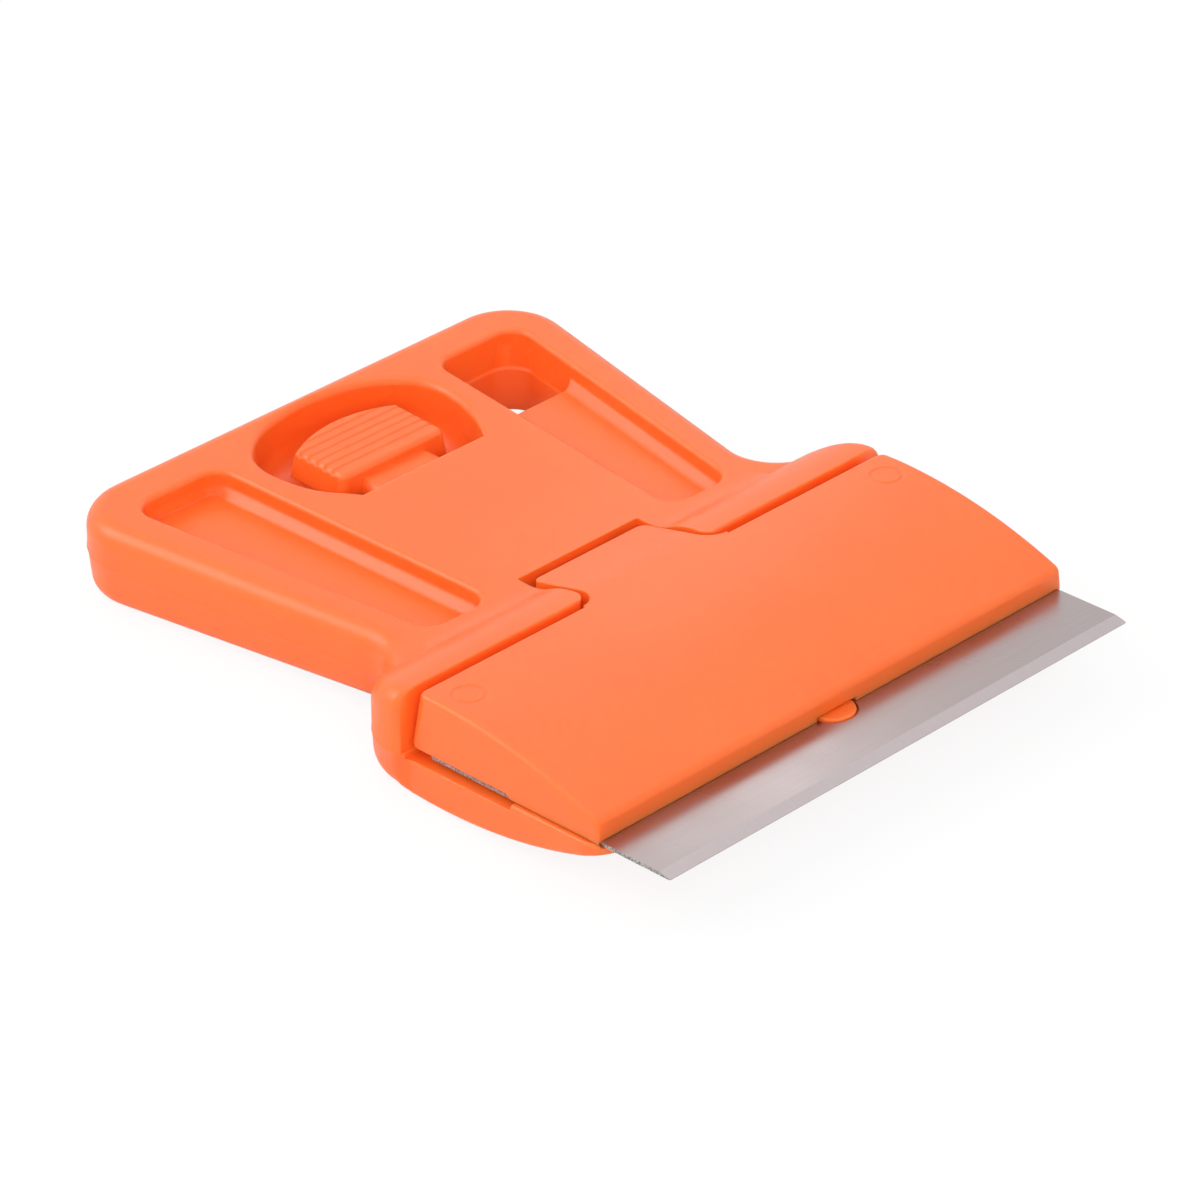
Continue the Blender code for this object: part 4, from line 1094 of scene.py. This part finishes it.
def bladePlate():
    half = blade["width"] / 2
    outline = roundCorners(mirrorHalf([
        (half, 0, blade["corner"]), (half, blade["depth"], blade["rearCorner"])]))
    strip = plate("bladePlate", outline, 0.0, blade["thickness"])
    fall = overrun * (blade["thickness"] - blade["edgeLand"]) / blade["grind"]
    grind = [
        (-overrun, blade["edgeLand"] - fall), (blade["grind"], blade["thickness"]),
        (blade["grind"], overrun), (-overrun, overrun)]
    hole = circlePoints((0, post["setback"]), post["radius"] + gaps["skirt"])
    combine(strip, "DIFFERENCE", bar("grindCutter", grind, -half - overrun, half + overrun),
            plate("holeCutter", hole, -overrun, overrun))
    for material in (stripSteel, groundSteel, tornSteel):
        strip.data.materials.append(material)
    for face in strip.data.polygons:  # the normals tell the faces apart
        sloped = face.normal.z > 0.2 and face.normal.y < -0.1
        face.material_index = 1 if sloped else 0
        if abs(face.normal.x) > 0.7 and abs(face.center.x) > half - overrun:
            face.material_index = 2
    tilt = Matrix.Rotation(-math.radians(scraper["bladeTilt"]), 4, "X")
    strip.data.transform(Matrix.Translation((0, 0, scraper["edgeHeight"])) @ tilt)
    strip.data.transform(toFrame)
    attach(strip, "body")
    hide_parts("blade")
    return strip


bladeStrip = bladePlate()
print("made", bladeStrip.name, len(bladeStrip.data.polygons), "faces")


# Table, light and camera

studio = {
    "floorHalf": 2.0,  # metres
    "tableGap": 0.00002,  # metres, below the lowest point
    "white": "#FFFFFF",
    "paperColour": "#E6E6E6",  # what the table throws back onto the scraper
    "shadowKept": 0.12,  # share of the shadow that the camera sees on the white table
    "worldStrength": 0.58,
    "fillLamp": "besideCamera",  # a soft fill that leaves no sheen
    # name: direction that it comes from, distance, size, watts
    "lamps": {
        "backLeft": ((-0.53, 0.58, 0.60), 0.55, 0.3, 0.95),
        "overhead": ((0.1, 0.15, 1.0), 0.6, 0.5, 0.5),
        "besideCamera": ((-0.55, -0.62, 0.56), 0.6, 0.3, 1.85),
        "bladeGlint": ((0.60, 0.43, 0.665), 0.058, 0.02, 0.0008),  # small card close to the blade
    },
}


def paleTable():
    half = studio["floorHalf"]
    work = bmesh.new()
    corners = [work.verts.new((x * half, y * half, 0)) for x, y in ((-1, -1), (1, -1), (1, 1), (-1, 1))]
    work.faces.new(corners)
    table = meshObject("table", work)
    table.location.z = cadLow.z - studio["tableGap"]
    # Matt white paper, so bright that only a trace of the shadow is left
    material, tree = newMaterial("whitePaperSweep")
    toCamera = addNode(tree, "ShaderNodeLightPath").outputs["Is Camera Ray"]
    share = addNode(tree, "ShaderNodeMath", {"operation": "MULTIPLY"}, {0: toCamera})
    share.inputs[1].default_value = 1 - studio["shadowKept"]
    tint = addNode(tree, "ShaderNodeMix", {
        "data_type": "RGBA", "A": fromHex(studio["paperColour"]), "B": fromHex(studio["white"])}, {
        "Factor": toCamera})
    paper = addNode(tree, "ShaderNodeBsdfDiffuse", links={"Color": tint.outputs["Result"]})
    glow = addNode(tree, "ShaderNodeEmission", {"Color": fromHex(studio["white"]), "Strength": 1.0})
    mixed = addNode(tree, "ShaderNodeMixShader", links={
        0: share.outputs[0], 1: paper.outputs["BSDF"], 2: glow.outputs["Emission"]})
    addNode(tree, "ShaderNodeOutputMaterial", links={"Surface": mixed.outputs["Shader"]})
    table.data.materials.append(material)


def aim(obj, direction):  # looks back along the direction that it stands in
    obj.rotation_mode = "QUATERNION"
    obj.rotation_quaternion = Vector(direction).to_track_quat("Z", "Y")


def studioLight():
    for name, (direction, distance, size, watts) in studio["lamps"].items():
        data = bpy.data.lights.new(name, "AREA")
        data.shape = "SQUARE"
        data.size = size
        data.energy = watts
        lamp = addObject(name, data)
        away = Vector(direction).normalized()
        lamp.location = away * distance
        aim(lamp, away)
        lamp.visible_camera = False
        lamp.visible_glossy = name != studio["fillLamp"]
    world = bpy.data.worlds.new("softRoom")
    world.use_nodes = True
    tree = world.node_tree
    tree.nodes.clear()
    seen = addNode(tree, "ShaderNodeLightPath")
    either = addNode(tree, "ShaderNodeMath", {"operation": "MAXIMUM"}, {
        0: seen.outputs["Is Camera Ray"], 1: seen.outputs["Is Glossy Ray"]})
    room = addNode(tree, "ShaderNodeBackground", {
        "Color": fromHex(studio["white"]), "Strength": studio["worldStrength"]})
    white = addNode(tree, "ShaderNodeBackground", {"Color": fromHex(studio["white"]), "Strength": 1.0})
    mixed = addNode(tree, "ShaderNodeMixShader", links={
        0: either.outputs[0], 1: room.outputs["Background"], 2: white.outputs["Background"]})
    addNode(tree, "ShaderNodeOutputWorld", links={"Surface": mixed.outputs["Shader"]})
    bpy.context.scene.world = world


view = {
    "azimuth": -44.373,  # degrees round from the front, and above the table
    "elevation": 32.175,
    "target": (-1.957, -3.398, 4.95),  # mm, the point in the middle of the picture
    "distance": 373.661,
    "lens": 180.0,
    "sensor": 36.0,
}


def photographersCamera():
    data = bpy.data.cameras.new("camera")
    data.lens = view["lens"]
    data.sensor_width = view["sensor"]
    data.clip_start = 0.01
    data.clip_end = 10.0
    camera = addObject("camera", data)
    around, above = math.radians(view["azimuth"]), math.radians(view["elevation"])
    level = math.cos(above)
    away = Vector((math.sin(around) * level, -math.cos(around) * level, math.sin(above)))
    camera.location = (Vector(view["target"]) + away * view["distance"]) * mm
    aim(camera, away)
    bpy.context.scene.camera = camera


paleTable()
studioLight()
photographersCamera()
bpy.context.scene.view_settings.view_transform = "Standard"
print("studio made")
